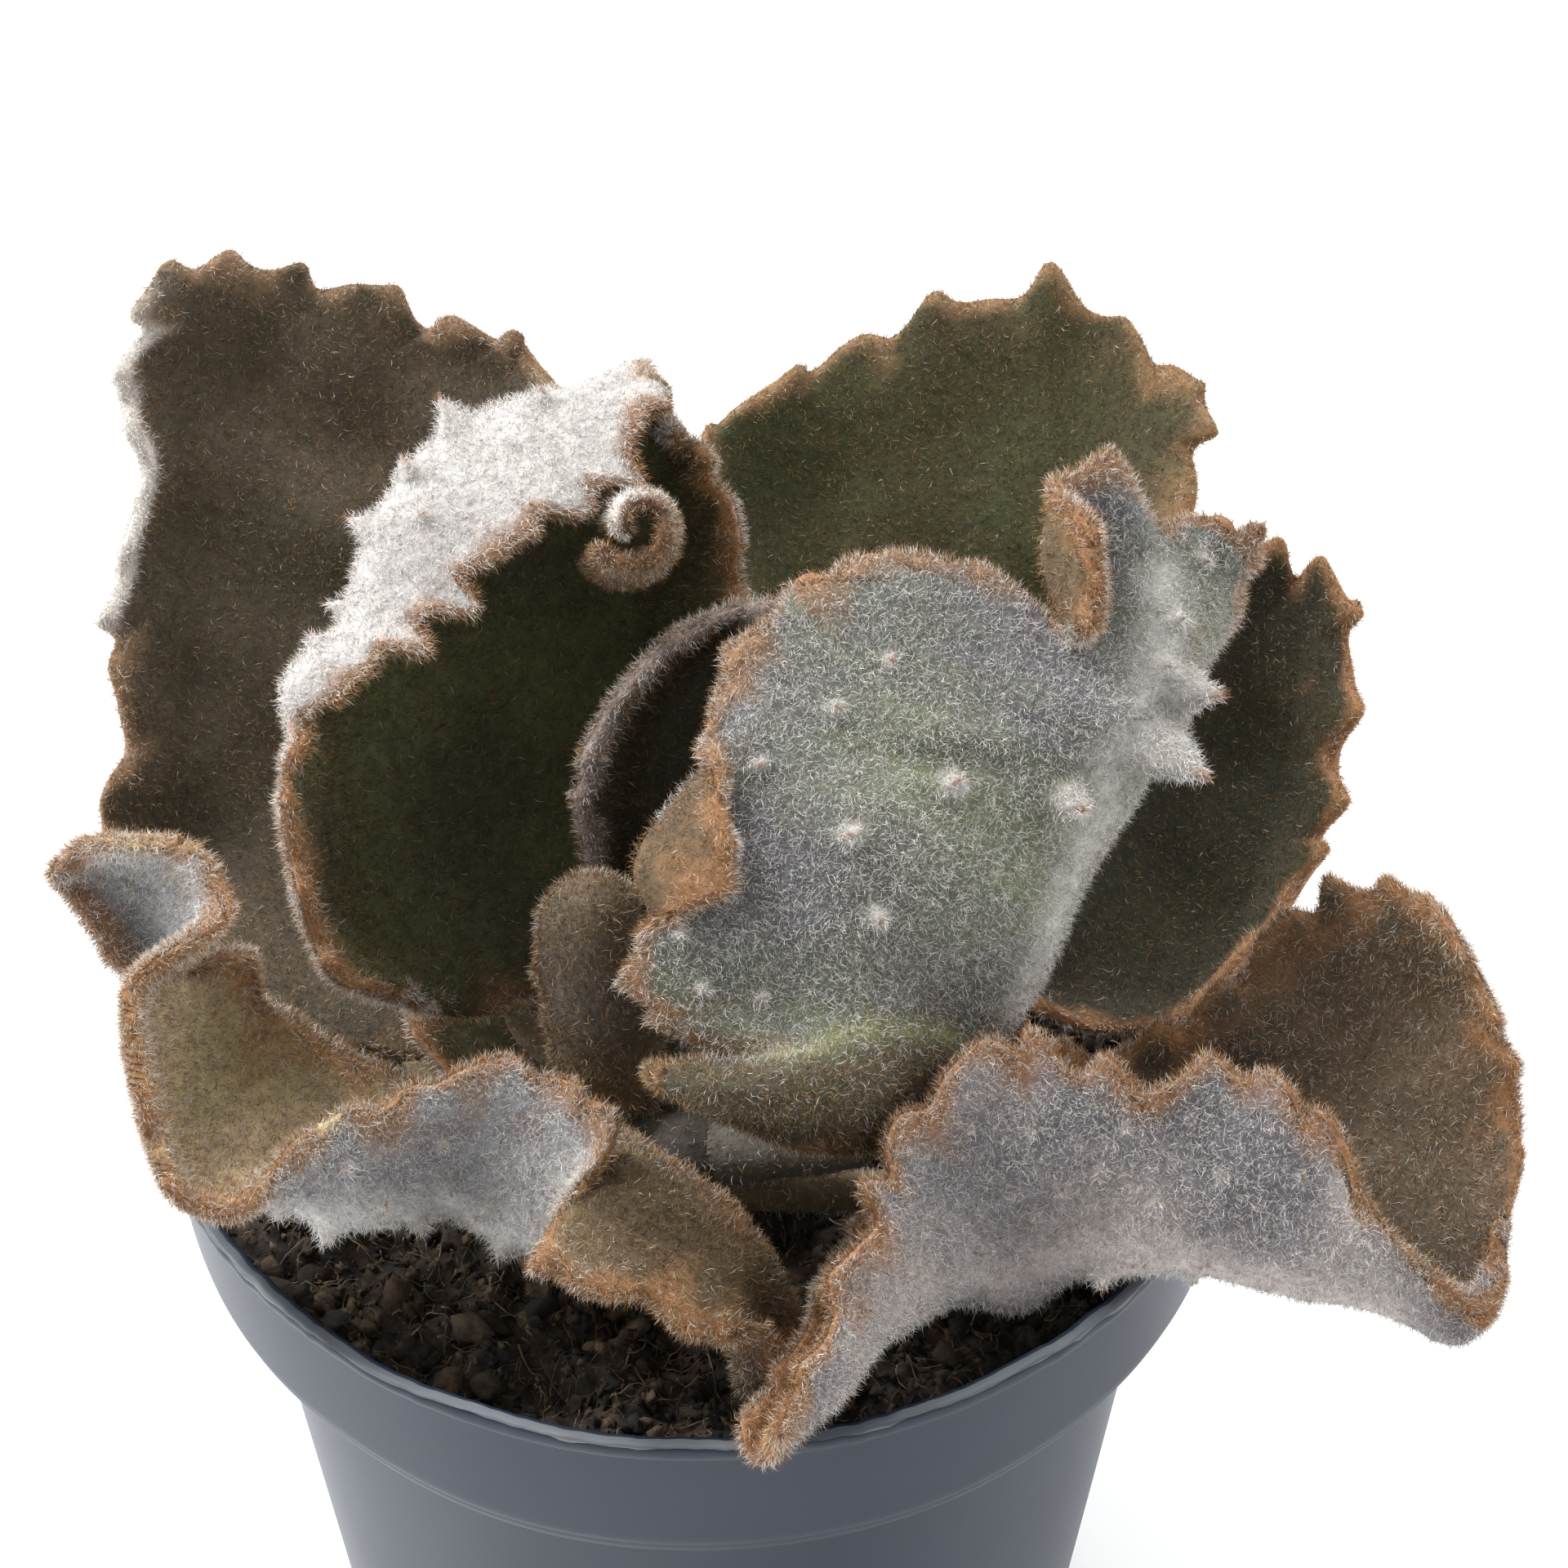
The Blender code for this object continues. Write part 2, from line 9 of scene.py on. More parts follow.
import bmesh
import bpy
import numpy as np
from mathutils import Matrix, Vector


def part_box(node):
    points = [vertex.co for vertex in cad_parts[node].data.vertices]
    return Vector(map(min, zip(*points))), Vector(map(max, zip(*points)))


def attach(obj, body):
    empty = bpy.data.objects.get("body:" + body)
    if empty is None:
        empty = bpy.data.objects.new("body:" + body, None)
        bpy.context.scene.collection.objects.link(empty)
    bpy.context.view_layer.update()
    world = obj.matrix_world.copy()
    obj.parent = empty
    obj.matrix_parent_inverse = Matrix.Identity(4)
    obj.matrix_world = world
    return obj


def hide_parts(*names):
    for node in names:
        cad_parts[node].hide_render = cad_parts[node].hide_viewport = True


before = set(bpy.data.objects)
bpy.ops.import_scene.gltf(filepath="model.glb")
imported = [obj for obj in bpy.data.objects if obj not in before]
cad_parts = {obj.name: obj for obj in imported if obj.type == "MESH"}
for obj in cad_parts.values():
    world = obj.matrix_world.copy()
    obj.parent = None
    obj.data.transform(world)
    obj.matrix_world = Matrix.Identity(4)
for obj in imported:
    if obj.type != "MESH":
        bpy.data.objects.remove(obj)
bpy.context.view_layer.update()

MM = 0.001
RNG = np.random.default_rng(7)

# From the frame
POT_LOW, POT_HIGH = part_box("pot")
SOIL_LOW, SOIL_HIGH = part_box("soil")
STEM_LOW, STEM_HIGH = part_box("stem")
RIM_R = (POT_HIGH[0] - POT_LOW[0]) / 2 / MM          # mm
POT_H = (POT_HIGH[2] - POT_LOW[2]) / MM
SOIL_R = (SOIL_HIGH[0] - SOIL_LOW[0]) / 2 / MM
SOIL_TOP = SOIL_HIGH[2] / MM - 1.2
STEM = ((STEM_LOW[0] + STEM_HIGH[0]) / 2 / MM, (STEM_LOW[1] + STEM_HIGH[1]) / 2 / MM)
STEM_R = (STEM_HIGH[0] - STEM_LOW[0]) / 2 / MM

# Felt, millimetres
BLADE = 1.3               # thickness of a leaf without its hair
EDGE = 1.3                # how far in from the margin the blade thins
HAIR_LONG = 1.0
HAIR_HALF_WIDE = 0.017
MOST_HAIRS = 66000        # in one piece
HAIR_ROOT = 0.05          # how deep a hair's root lies in the felt
MARGIN_FELT = 1.5         # width of the rusty felt along a margin
SWELL_LONG = 14           # length of the waves in a blade
TOOTH_LIFT = 0.35         # how far the teeth curl towards the upper face, by their depth
STREAK_SHARE = 0.75       # the share of hairs in the middle of a streak that are of its kind
STALK_HAIRS = 14          # on a square mm of a stalk
STEM_HAIRS = 12

# Colours, linear RGB
OLIVE = (0.060, 0.060, 0.022)
DARK_OLIVE = (0.034, 0.030, 0.016)
UMBER = (0.115, 0.080, 0.042)
LILAC_GREY = (0.115, 0.115, 0.126)
PALE_GREEN = (0.155, 0.175, 0.105)
GREEN_BROWN = (0.050, 0.045, 0.026)
# Painted highlight: a yellow-green glow along a crease of leaf_front_centre
GLOW_HIGHLIGHT_GREEN = (0.17, 0.175, 0.055)
DARK_RUST = (0.085, 0.050, 0.026)
RUST = (0.30, 0.145, 0.060)
STAR_WHITE = (0.40, 0.37, 0.34)
PALE_EDGE = (0.50, 0.46, 0.42)
TIP_RED = (0.28, 0.11, 0.075)

# Where each kind of hair sits on the hair colour ramp, 0 to 1
HAIR_KINDS = (0.05, 0.23, 0.41, 0.59, 0.77, 0.95)
WHITE_HAIR, SILVER_HAIR, CREAM_HAIR, TAN_HAIR, RUST_HAIR, DARK_HAIR = HAIR_KINDS

# Each leaf is a loft through cross sections, laid from its stalk end to its tip. A section runs
# from one margin of the leaf to the other. Points are x, y, z in millimetres, in the CAD's frame.
FRONT_LEFT = (
    ((7, -30.5, 77), (7, -32, 77), (5.5, -35.5, 78), (6, -35.5, 80.5)),
    ((6.5, -28.5, 78), (6, -30, 77.5), (3, -36.5, 78.5), (4.5, -34.5, 83)),
    ((4.5, -26, 80), (3.5, -30, 83), (2.5, -32.5, 83.5), (1.5, -36.5, 83.5)),
    ((1.5, -23, 81.5), (1, -28.5, 84.5), (-0.5, -31.5, 86), (-3.5, -35, 86.5)),
    ((-3.5, -19, 82.5), (-3.5, -24.5, 87), (-6.5, -29, 88.5), (-10.5, -34, 89)),
    ((-5, -17, 81.5), (-5, -22, 86.5), (-7.5, -26.5, 88), (-9, -30, 88.5)),
    ((-7.5, -16, 81), (-6.5, -19, 81.5), (-9, -26.5, 82), (-6, -24.5, 91)),
    ((-12, -14, 80), (-11, -17.5, 78.5), (-13, -25, 81), (-10, -21.5, 92.5)),
    ((-16.5, -12.5, 80.5), (-16, -15.5, 79), (-17, -23, 81.5), (-14.5, -20.5, 93.5)),
    ((-20.5, -12, 82), (-20.5, -15.5, 80.5), (-20.5, -24, 82), (-20, -22, 92)),
    ((-24.5, -11.5, 84), (-25, -16.5, 83.5), (-25.5, -26.5, 85), (-26, -25.5, 91.5)),
    ((-28.5, -11, 87.5), (-29.5, -16, 85.5), (-31, -23.5, 86.5), (-31.5, -29.5, 89)),
    ((-31, -11, 90), (-33.5, -15.5, 87.5), (-35.5, -22, 88), (-36, -28.5, 91.5)),
    ((-31.5, -11.5, 95), (-35, -12, 93), (-37.5, -15.5, 95), (-38.5, -18.5, 99)),
    ((-39, -13, 94), (-38, -11, 94), (-36, -12, 96), (-32.5, -15.5, 102.5)),
    ((-42, -11.5, 97.5), (-40.5, -9.5, 97), (-37.5, -9, 98.5), (-32.5, -13, 103)),
    ((-44, -9.5, 99.5), (-42.5, -8.5, 99.5), (-39.5, -8, 101), (-35, -10.5, 104.5)),
    ((-44.5, -10, 102), (-44, -9.5, 102.5), (-43, -9, 103), (-41.5, -9, 104)),
)
FRONT_RIGHT = (
    ((3, -40.5, 80), (3.5, -42, 78.5), (5, -43, 79), (6, -43.5, 82.5)),
    ((5.5, -37.5, 80.5), (7, -38, 79), (9.5, -39, 81), (7.5, -40, 85)),
    ((8, -32, 81.5), (10, -32, 79.5), (13, -33.5, 81.5), (9.5, -35, 86.5)),
    ((11, -26.5, 82), (13.5, -25.5, 78), (17, -28.5, 79), (12.5, -29, 89.5)),
    ((15, -18.5, 79), (19, -18.5, 77.5), (22.5, -27, 76.5), (16.5, -22.5, 93)),
    ((22.5, -12.5, 82), (23.5, -16, 78.5), (25.5, -26.5, 78.5), (21.5, -19.5, 94.5)),
    ((28.5, -10, 82.5), (29, -16, 78.5), (29.5, -27, 79.5), (26.5, -20, 92.5)),
    ((35, -8, 84.5), (35, -15, 79.5), (34, -27, 80), (30.5, -21.5, 92.5)),
    ((40.5, -5, 87.5), (41.5, -14, 82), (39, -28, 79.5), (35, -20.5, 93.5)),
    ((44.5, -3.5, 92), (47.5, -13, 84), (45, -29.5, 79), (41, -23, 92.5)),
    ((48.5, -6, 96), (52.5, -13.5, 86.5), (50, -30.5, 78.5), (45.5, -28, 88)),
    ((50.5, -8, 97), (55.5, -16, 87), (53.5, -31, 79), (49.5, -30.5, 84)),
    ((52, -10, 96.5), (57, -17, 88.5), (56.5, -25, 82.5), (53, -32.5, 81)),
)
FRONT_CENTRE = (
    ((2.5, -22, 89.5), (6, -23, 88.5), (10, -22, 87), (13.5, -19, 84), (14.5, -15, 81)),
    ((-3.5, -22.5, 95.5), (1.5, -25, 96), (11, -23.5, 93.5), (17.5, -16.5, 88), (18, -11.5, 84)),
    ((2, -19.5, 93), (6.5, -20.5, 95), (12.5, -18, 95.5), (20, -15, 90.5), (20, -9.5, 86)),
    ((-3, -17.5, 96), (1.5, -17.5, 96), (11.5, -15.5, 98), (21.5, -13.5, 93), (22, -7.5, 87.5)),
    ((-4, -15, 100), (1.5, -15, 100), (12, -13, 101.5), (24.5, -10, 97.5), (25, -3.5, 91.5)),
    ((2.5, -14, 105), (-3.5, -11.5, 103), (12.5, -10.5, 104.5), (27, -6.5, 101), (27.5, 0, 95)),
    ((1.5, -10, 107.5), (-1, -7.5, 106), (14, -7.5, 107), (29, -4, 103), (30, 3, 97.5)),
    ((1.5, -2.5, 109), (4.5, -4, 109), (16, -5, 108), (30, -2.5, 105), (31.5, 4.5, 99)),
    ((3, 2, 112), (7, -0.5, 111), (19, -4, 109), (31.5, -1, 106.5), (33, 5, 101)),
    ((11.5, 6.5, 115), (14.5, 3, 112.5), (22.5, -2.5, 109), (32.5, 0.5, 107.5), (34.5, 6.5, 103.5)),
    ((18.5, 7.5, 114), (21.5, 3.5, 112), (27, -2, 109.5), (33, 2, 109), (35.5, 7.5, 106)),
    ((24.5, 3.5, 112), (26.5, 1, 111), (30, 1, 110.5), (33.5, 4, 111), (37, 8.5, 108)),
    ((27.5, 0.5, 116), (25, 5, 113), (30.5, 5.5, 114), (34, 7.5, 113), (38, 10, 111)),
    ((27, 4, 120.5), (24, 7, 116.5), (30, 8, 116), (33, 9, 114.5), (39, 9.5, 113)),
    ((24.5, 8, 120), (25.5, 9.5, 120), (28, 11, 121.5), (31.5, 10.5, 115.5), (39.5, 9.5, 115)),
)
MID_LEFT = (
    ((-17.5, -7, 84.5), (-16.5, -6.5, 83.5), (-14.5, -5.5, 82.5), (-12.5, -3.5, 82), (-11, -3, 82.5)),
    ((-24.5, -13, 93.5), (-23.5, -11, 91.5), (-19.5, -6.5, 87), (-11, -2, 83.5), (-7.5, 0, 86.5)),
    ((-27, -10, 98), (-26.5, -8, 96), (-22.5, -3, 89.5), (-10, 3, 86.5), (-4, 4.5, 91)),
    ((-28.5, -6.5, 102.5), (-27.5, -4, 100.5), (-24, 2, 92.5), (-9.5, 8, 88.5), (-1.5, 7.5, 95)),
    ((-28, -2.5, 106), (-27.5, -0.5, 104), (-24, 6, 96.5), (-8.5, 12, 92.5), (0.5, 11, 99.5)),
    ((-25, -0.5, 109.5), (-28, 1.5, 108.5), (-24, 9, 99), (-7, 15.5, 95.5), (2, 13, 103)),
    ((-20.5, 2.5, 111), (-24.5, 5.5, 109.5), (-21.5, 13.5, 102), (-6, 18.5, 98.5), (3, 14.5, 105.5)),
    ((-17.5, 5.5, 112), (-23, 9.5, 112), (-18.5, 16.5, 105), (-4, 20.5, 101.5), (2.5, 16, 107.5)),
    ((-13.5, 9, 114.5), (-21, 13.5, 114.5), (-15.5, 19.5, 107.5), (-3.5, 21, 105), (2, 18.5, 109.5)),
    ((-7.5, 12.5, 116), (-18, 18, 116), (-12, 22, 110), (-3, 22.5, 108), (0.5, 20, 111)),
    ((-3.5, 17.5, 118), (-10, 21, 117), (-7, 23.5, 112.5), (-2, 23.5, 110), (-0.5, 22, 111.5)),
    ((-3, 22, 118), (-4, 23.5, 118), (-3.5, 24.5, 116.5), (-2.5, 24, 113), (-2, 22.5, 112)),
)
BACK_LEFT = (
    ((-25, -5, 76.5), (-22.5, -4.5, 75.5), (-19, -4, 75), (-17, -2, 75)),
    ((-33, -5, 80.5), (-27.5, -3, 77), (-19, -1.5, 75.5), (-15, 2.5, 77)),
    ((-41, 2, 84), (-36, 4, 79), (-22, 6.5, 76), (-15.5, 8, 80)),
    ((-44.5, 8, 86), (-39, 12, 81), (-22, 15, 78.5), (-15.5, 14.5, 83.5)),
    ((-42.5, 16, 90.5), (-38.5, 20, 86.5), (-21.5, 23, 84.5), (-14, 21.5, 89)),
    ((-44, 22.5, 95.5), (-39, 28, 93.5), (-21, 31.5, 91.5), (-13, 29, 95)),
    ((-41.5, 28.5, 101), (-39, 34, 98), (-21, 37, 96.5), (-12, 34, 99.5)),
    ((-42.5, 34.5, 105.5), (-39, 39, 103), (-21, 41.5, 101), (-11, 37, 102.5)),
    ((-40, 43, 110.5), (-34, 45.5, 109), (-21, 43.5, 104.5), (-13.5, 40.5, 105.5)),
)
BACK_RIGHT = (
    ((5.5, 4.5, 78.5), (7.5, 4.5, 77), (12, 5.5, 76.5), (14.5, 6, 77.5)),
    ((0.5, 8, 83.5), (6, 10, 79.5), (20, 11.5, 79.5), (24.5, 11.5, 84)),
    ((-0.5, 15.5, 89), (6, 19, 85), (22.5, 21, 84.5), (29.5, 18.5, 89)),
    ((-0.5, 23, 94.5), (5.5, 26.5, 90.5), (24.5, 28, 89.5), (34, 24.5, 93.5)),
    ((-0.5, 30, 100), (5, 33.5, 97.5), (26.5, 35.5, 96.5), (36.5, 31, 99)),
    ((0.5, 34.5, 102.5), (9, 41, 103), (26.5, 45.5, 106), (37.5, 36.5, 103)),
)
RIGHT = (
    ((25.5, -4, 80), (28, -4.5, 78.5), (33.5, -3, 77), (36, -2.5, 77.5)),
    ((22, -2, 82), (27, -1, 79), (36.5, 0.5, 77.5), (41, 2, 81.5)),
    ((24.5, 4.5, 86.5), (29.5, 6, 83), (40.5, 8, 82), (45, 7, 85)),
    ((25.5, 8.5, 90.5), (30.5, 12, 87), (42.5, 14, 86), (47, 12, 89.5)),
    ((28, 13.5, 95), (32.5, 17.5, 92), (43.5, 19, 91), (48, 17, 93)),
    ((33.5, 19, 99), (38, 23.5, 97.5), (44.5, 24.5, 97), (48, 21.5, 97)),
)
CENTRE = (
    ((-4, -7.5, 86.5), (-2.5, -8, 86), (-0.5, -7, 85.5), (1.5, -6.5, 87)),
    ((-7, -2.5, 91), (-4.5, -2, 88.5), (0, -2, 89), (3, -2, 91.5)),
    ((-8.5, -1, 96.5), (-5, 1, 93), (0, 1.5, 93.5), (4, 1, 97)),
    ((-7.5, 1.5, 103), (-4, 5.5, 100), (1, 6, 100.5), (5, 4, 102.5)),
    ((-3, 5.5, 107), (-1, 9, 104.5), (2, 10, 104.5), (5.5, 7, 105.5)),
    ((0.5, 8.5, 108), (2, 10, 107), (3.5, 10.5, 107.5), (5.5, 9.5, 108)),
)
YOUNG = (
    ((-8, -15, 82.5), (-6.5, -15, 82), (-4.5, -15, 82), (-3, -13.5, 82)),
    ((-10, -12.5, 85.5), (-8, -14, 86), (-5, -13.5, 86), (-3, -11.5, 85.5)),
    ((-11, -9.5, 90), (-9, -11, 91.5), (-6, -11, 91.5), (-3.5, -8.5, 89.5)),
    ((-11, -7.5, 93.5), (-9, -8, 95.5), (-6.5, -8, 95.5), (-4, -6.5, 93)),
    ((-9.5, -4.5, 94.5), (-8, -5, 95.5), (-6.5, -5, 95.5), (-5, -5, 94.5)),
)
LOW = (
    ((-17.5, -9, 78), (-16.5, -9.5, 77.5), (-14.5, -9, 77), (-13, -7.5, 77)),
    ((-21, -5.5, 80), (-18.5, -5.5, 78.5), (-15, -5, 78), (-12, -3, 77)),
    ((-21, -1.5, 81), (-18.5, -0.5, 80.5), (-15.5, 0, 79.5), (-13, -0.5, 78)),
    ((-19, 1, 80.5), (-18, 1, 81), (-16, 2, 80), (-14.5, 1.5, 79.5)),
)


# ---------------------------------------------------------------- small tools

def waves(points, size, seed, count=14):
    """Smooth noise from -1 to 1 at the points: a sum of waves about size mm long."""
    rng = np.random.default_rng(seed)
    ways = rng.normal(size=(count, points.shape[-1]))
    ways /= np.linalg.norm(ways, axis=1, keepdims=True)
    rates = 2 * math.pi / size * rng.uniform(0.7, 1.5, count)
    phases = rng.uniform(0, 2 * math.pi, count)
    total = np.sin(points @ (ways * rates[:, None]).T + phases).sum(axis=-1)
    return total / math.sqrt(count)


def unit(vectors):
    return vectors / np.maximum(np.linalg.norm(vectors, axis=-1, keepdims=True), 1e-9)


def smooth_step(value, low, high):
    t = np.clip((value - low) / (high - low), 0, 1)
    return t * t * (3 - 2 * t)


def blend_rows(a, b, share):
    """Mixes colours or points: all a where share is 0, all b where it is 1."""
    share = np.asarray(share)[..., None]
    return np.asarray(a) * (1 - share) + np.asarray(b) * share


def mesh_from(name, verts_mm, faces, smooth=True):
    """A mesh from arrays. faces is a list of arrays, each with one face a row."""
    mesh = bpy.data.meshes.new(name)
    sizes = np.concatenate([np.full(len(part), part.shape[1]) for part in faces])
    corners = np.concatenate([part.reshape(-1) for part in faces]).astype(np.int32)
    starts = np.concatenate(([0], np.cumsum(sizes)[:-1])).astype(np.int32)
    mesh.vertices.add(len(verts_mm))
    mesh.vertices.foreach_set("co", (np.asarray(verts_mm) * MM).astype(np.float32).reshape(-1))
    mesh.loops.add(len(corners))
    mesh.loops.foreach_set("vertex_index", corners)
    mesh.polygons.add(len(sizes))
    mesh.polygons.foreach_set("loop_start", starts)
    if smooth:
        mesh.polygons.foreach_set("use_smooth", np.ones(len(sizes), dtype=bool))
    mesh.update(calc_edges=True)
    return mesh


def paint(mesh, colours):
    """Stores one colour a vertex as the attribute that the materials read."""
    layer = mesh.color_attributes.new("paint", "FLOAT_COLOR", "POINT")
    full = np.ones((len(colours), 4), dtype=np.float32)
    full[:, :3] = np.clip(colours, 0, 1)
    layer.data.foreach_set("color", full.reshape(-1))


def add_piece(name, mesh, mat):
    piece = bpy.data.objects.new(name, mesh)
    bpy.context.scene.collection.objects.link(piece)
    mesh.materials.append(mat)
    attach(piece, "root")
    return piece


def grid_faces(rows, cols, offset=0, flip=False, wrap=False):
    """Quads over a grid of vertices numbered row by row."""
    i, j = np.meshgrid(np.arange(rows - 1), np.arange(cols if wrap else cols - 1), indexing="ij")
    n = (j + 1) % cols
    quads = np.stack([i * cols + j, i * cols + n, (i + 1) * cols + n, (i + 1) * cols + j], -1)
    quads = quads.reshape(-1, 4) + offset
    return quads[:, ::-1] if flip else quads


def ring_mesh(name, points, flip=False):
    """A mesh through rings of points, one ring a row."""
    return mesh_from(name, points.reshape(-1, 3),
                     [grid_faces(*points.shape[:2], 0, flip, True)])


# ---------------------------------------------------------------- materials

def new_material(name):
    mat = bpy.data.materials.new(name)
    mat.use_nodes = True
    nodes = mat.node_tree.nodes
    return mat, nodes, mat.node_tree.links, nodes["Principled BSDF"]


def noise_node(nodes, links, scale, detail=4.0, rough=0.6):
    where = nodes.new("ShaderNodeTexCoord")
    noise = nodes.new("ShaderNodeTexNoise")
    noise.inputs["Scale"].default_value = scale
    noise.inputs["Detail"].default_value = detail
    noise.inputs["Roughness"].default_value = rough
    links.new(where.outputs["Object"], noise.inputs["Vector"])
    return noise


def ramp_node(nodes, stops):
    ramp = nodes.new("ShaderNodeValToRGB")
    for element, (place, colour) in zip(ramp.color_ramp.elements, (stops[0], stops[-1])):
        element.position = place
        element.color = (*colour, 1)
    for place, colour in stops[1:-1]:
        ramp.color_ramp.elements.new(place).color = (*colour, 1)
    return ramp


def multiply_colours(nodes, links, first, second, target):
    """Sends one colour times the other to the target socket."""
    mix = nodes.new("ShaderNodeMix")
    mix.data_type = "RGBA"
    mix.blend_type = "MULTIPLY"
    mix.inputs["Factor"].default_value = 1.0
    links.new(first, mix.inputs["A"])
    links.new(second, mix.inputs["B"])
    links.new(mix.outputs["Result"], target)


def add_bump(nodes, links, shader, noise, strength, distance):
    bump = nodes.new("ShaderNodeBump")
    bump.inputs["Strength"].default_value = strength
    bump.inputs["Distance"].default_value = distance
    links.new(noise.outputs["Fac"], bump.inputs["Height"])
    links.new(bump.outputs["Normal"], shader.inputs["Normal"])


def painted_material(name, roughness, grain_scale, low, high, bump_scale, bump, sheen=0.0):
    """A material that takes its colour from the paint, with a fine grain of light and dark in it,
    and a small bump."""
    mat, nodes, links, shader = new_material(name)
    painted = nodes.new("ShaderNodeVertexColor")
    painted.layer_name = "paint"
    grain = noise_node(nodes, links, grain_scale)
    spread = ramp_node(nodes, [(0.3, (low,) * 3), (0.7, (high,) * 3)])
    links.new(grain.outputs["Fac"], spread.inputs["Fac"])
    multiply_colours(nodes, links, painted.outputs["Color"], spread.outputs["Color"],
                     shader.inputs["Base Color"])
    add_bump(nodes, links, shader, noise_node(nodes, links, bump_scale, 3.0), bump, 0.3 * MM)
    shader.inputs["Roughness"].default_value = roughness
    shader.inputs["Sheen Weight"].default_value = sheen
    shader.inputs["Sheen Roughness"].default_value = 0.4
    return mat


def hair_material():
    """Hair coloured by where it sits on the ramp, which u gives, and darker towards its root,
    where v is 0: painted shade deep in the felt between the hairs."""
    mat, nodes, links, shader = new_material("leaf_hair")
    where = nodes.new("ShaderNodeUVMap")
    where.uv_map = "OFBake"
    split = nodes.new("ShaderNodeSeparateXYZ")
    links.new(where.outputs["UV"], split.inputs["Vector"])
    kinds = ramp_node(nodes, [
        (WHITE_HAIR, (0.93, 0.91, 0.88)), (SILVER_HAIR, (0.66, 0.65, 0.64)),
        (CREAM_HAIR, (0.78, 0.62, 0.43)), (TAN_HAIR, (0.27, 0.19, 0.10)),
        (RUST_HAIR, (0.50, 0.235, 0.090)), (DARK_HAIR, (0.075, 0.060, 0.030))])
    links.new(split.outputs["X"], kinds.inputs["Fac"])
    # Painted shade: each hair darkens towards its root, where the matted felt shades it.
    root_shade = ramp_node(nodes, [(0.0, (0.30,) * 3), (0.6, (1.0,) * 3)])
    links.new(split.outputs["Y"], root_shade.inputs["Fac"])
    multiply_colours(nodes, links, kinds.outputs["Color"], root_shade.outputs["Color"],
                     shader.inputs["Base Color"])
    shader.inputs["Roughness"].default_value = 0.6
    shader.inputs["Specular IOR Level"].default_value = 0.1
    return mat


# ---------------------------------------------------------------- lofts

def loft_weights(marks, places):
    """The matrix that carries the sections at the marks to a smooth curve at the places."""
    last = len(marks) - 1
    weights = np.zeros((len(places), len(marks)))
    for row, place in enumerate(places):
        k = int(np.clip(np.searchsorted(marks, place, side="right") - 1, 0, last - 1))
        span = marks[k + 1] - marks[k]
        t = (place - marks[k]) / span
        weights[row, k] += 2 * t**3 - 3 * t**2 + 1
        weights[row, k + 1] += 3 * t**2 - 2 * t**3
        for i, gain in ((k, t**3 - 2 * t**2 + t), (k + 1, t**3 - t**2)):
            low, high = max(i - 1, 0), min(i + 1, last)
            slope = gain * span / (marks[high] - marks[low])
            weights[row, high] += slope
            weights[row, low] -= slope
    return weights


def even_marks(net, axis):
    """How far along each section lies, from 0 to 1, by the mean distance between them."""
    steps = np.linalg.norm(np.diff(net, axis=axis), axis=-1).mean(axis=1 - axis)
    marks = np.concatenate(([0], np.cumsum(steps)))
    return marks / marks[-1]


def crowded(count):
    """Places from 0 to 1, closer together near both ends."""
    even = np.linspace(0, 1, count)
    return 0.45 * even + 0.55 * (0.5 - 0.5 * np.cos(math.pi * even))


def run_length(grid, axis):
    """How far along its grid line each point lies, in mm."""
    steps = np.linalg.norm(np.diff(grid, axis=axis), axis=-1)
    total = np.cumsum(steps, axis=axis)
    zero = np.zeros_like(np.take(total, [0], axis=axis))
    return np.concatenate([zero, total], axis=axis)


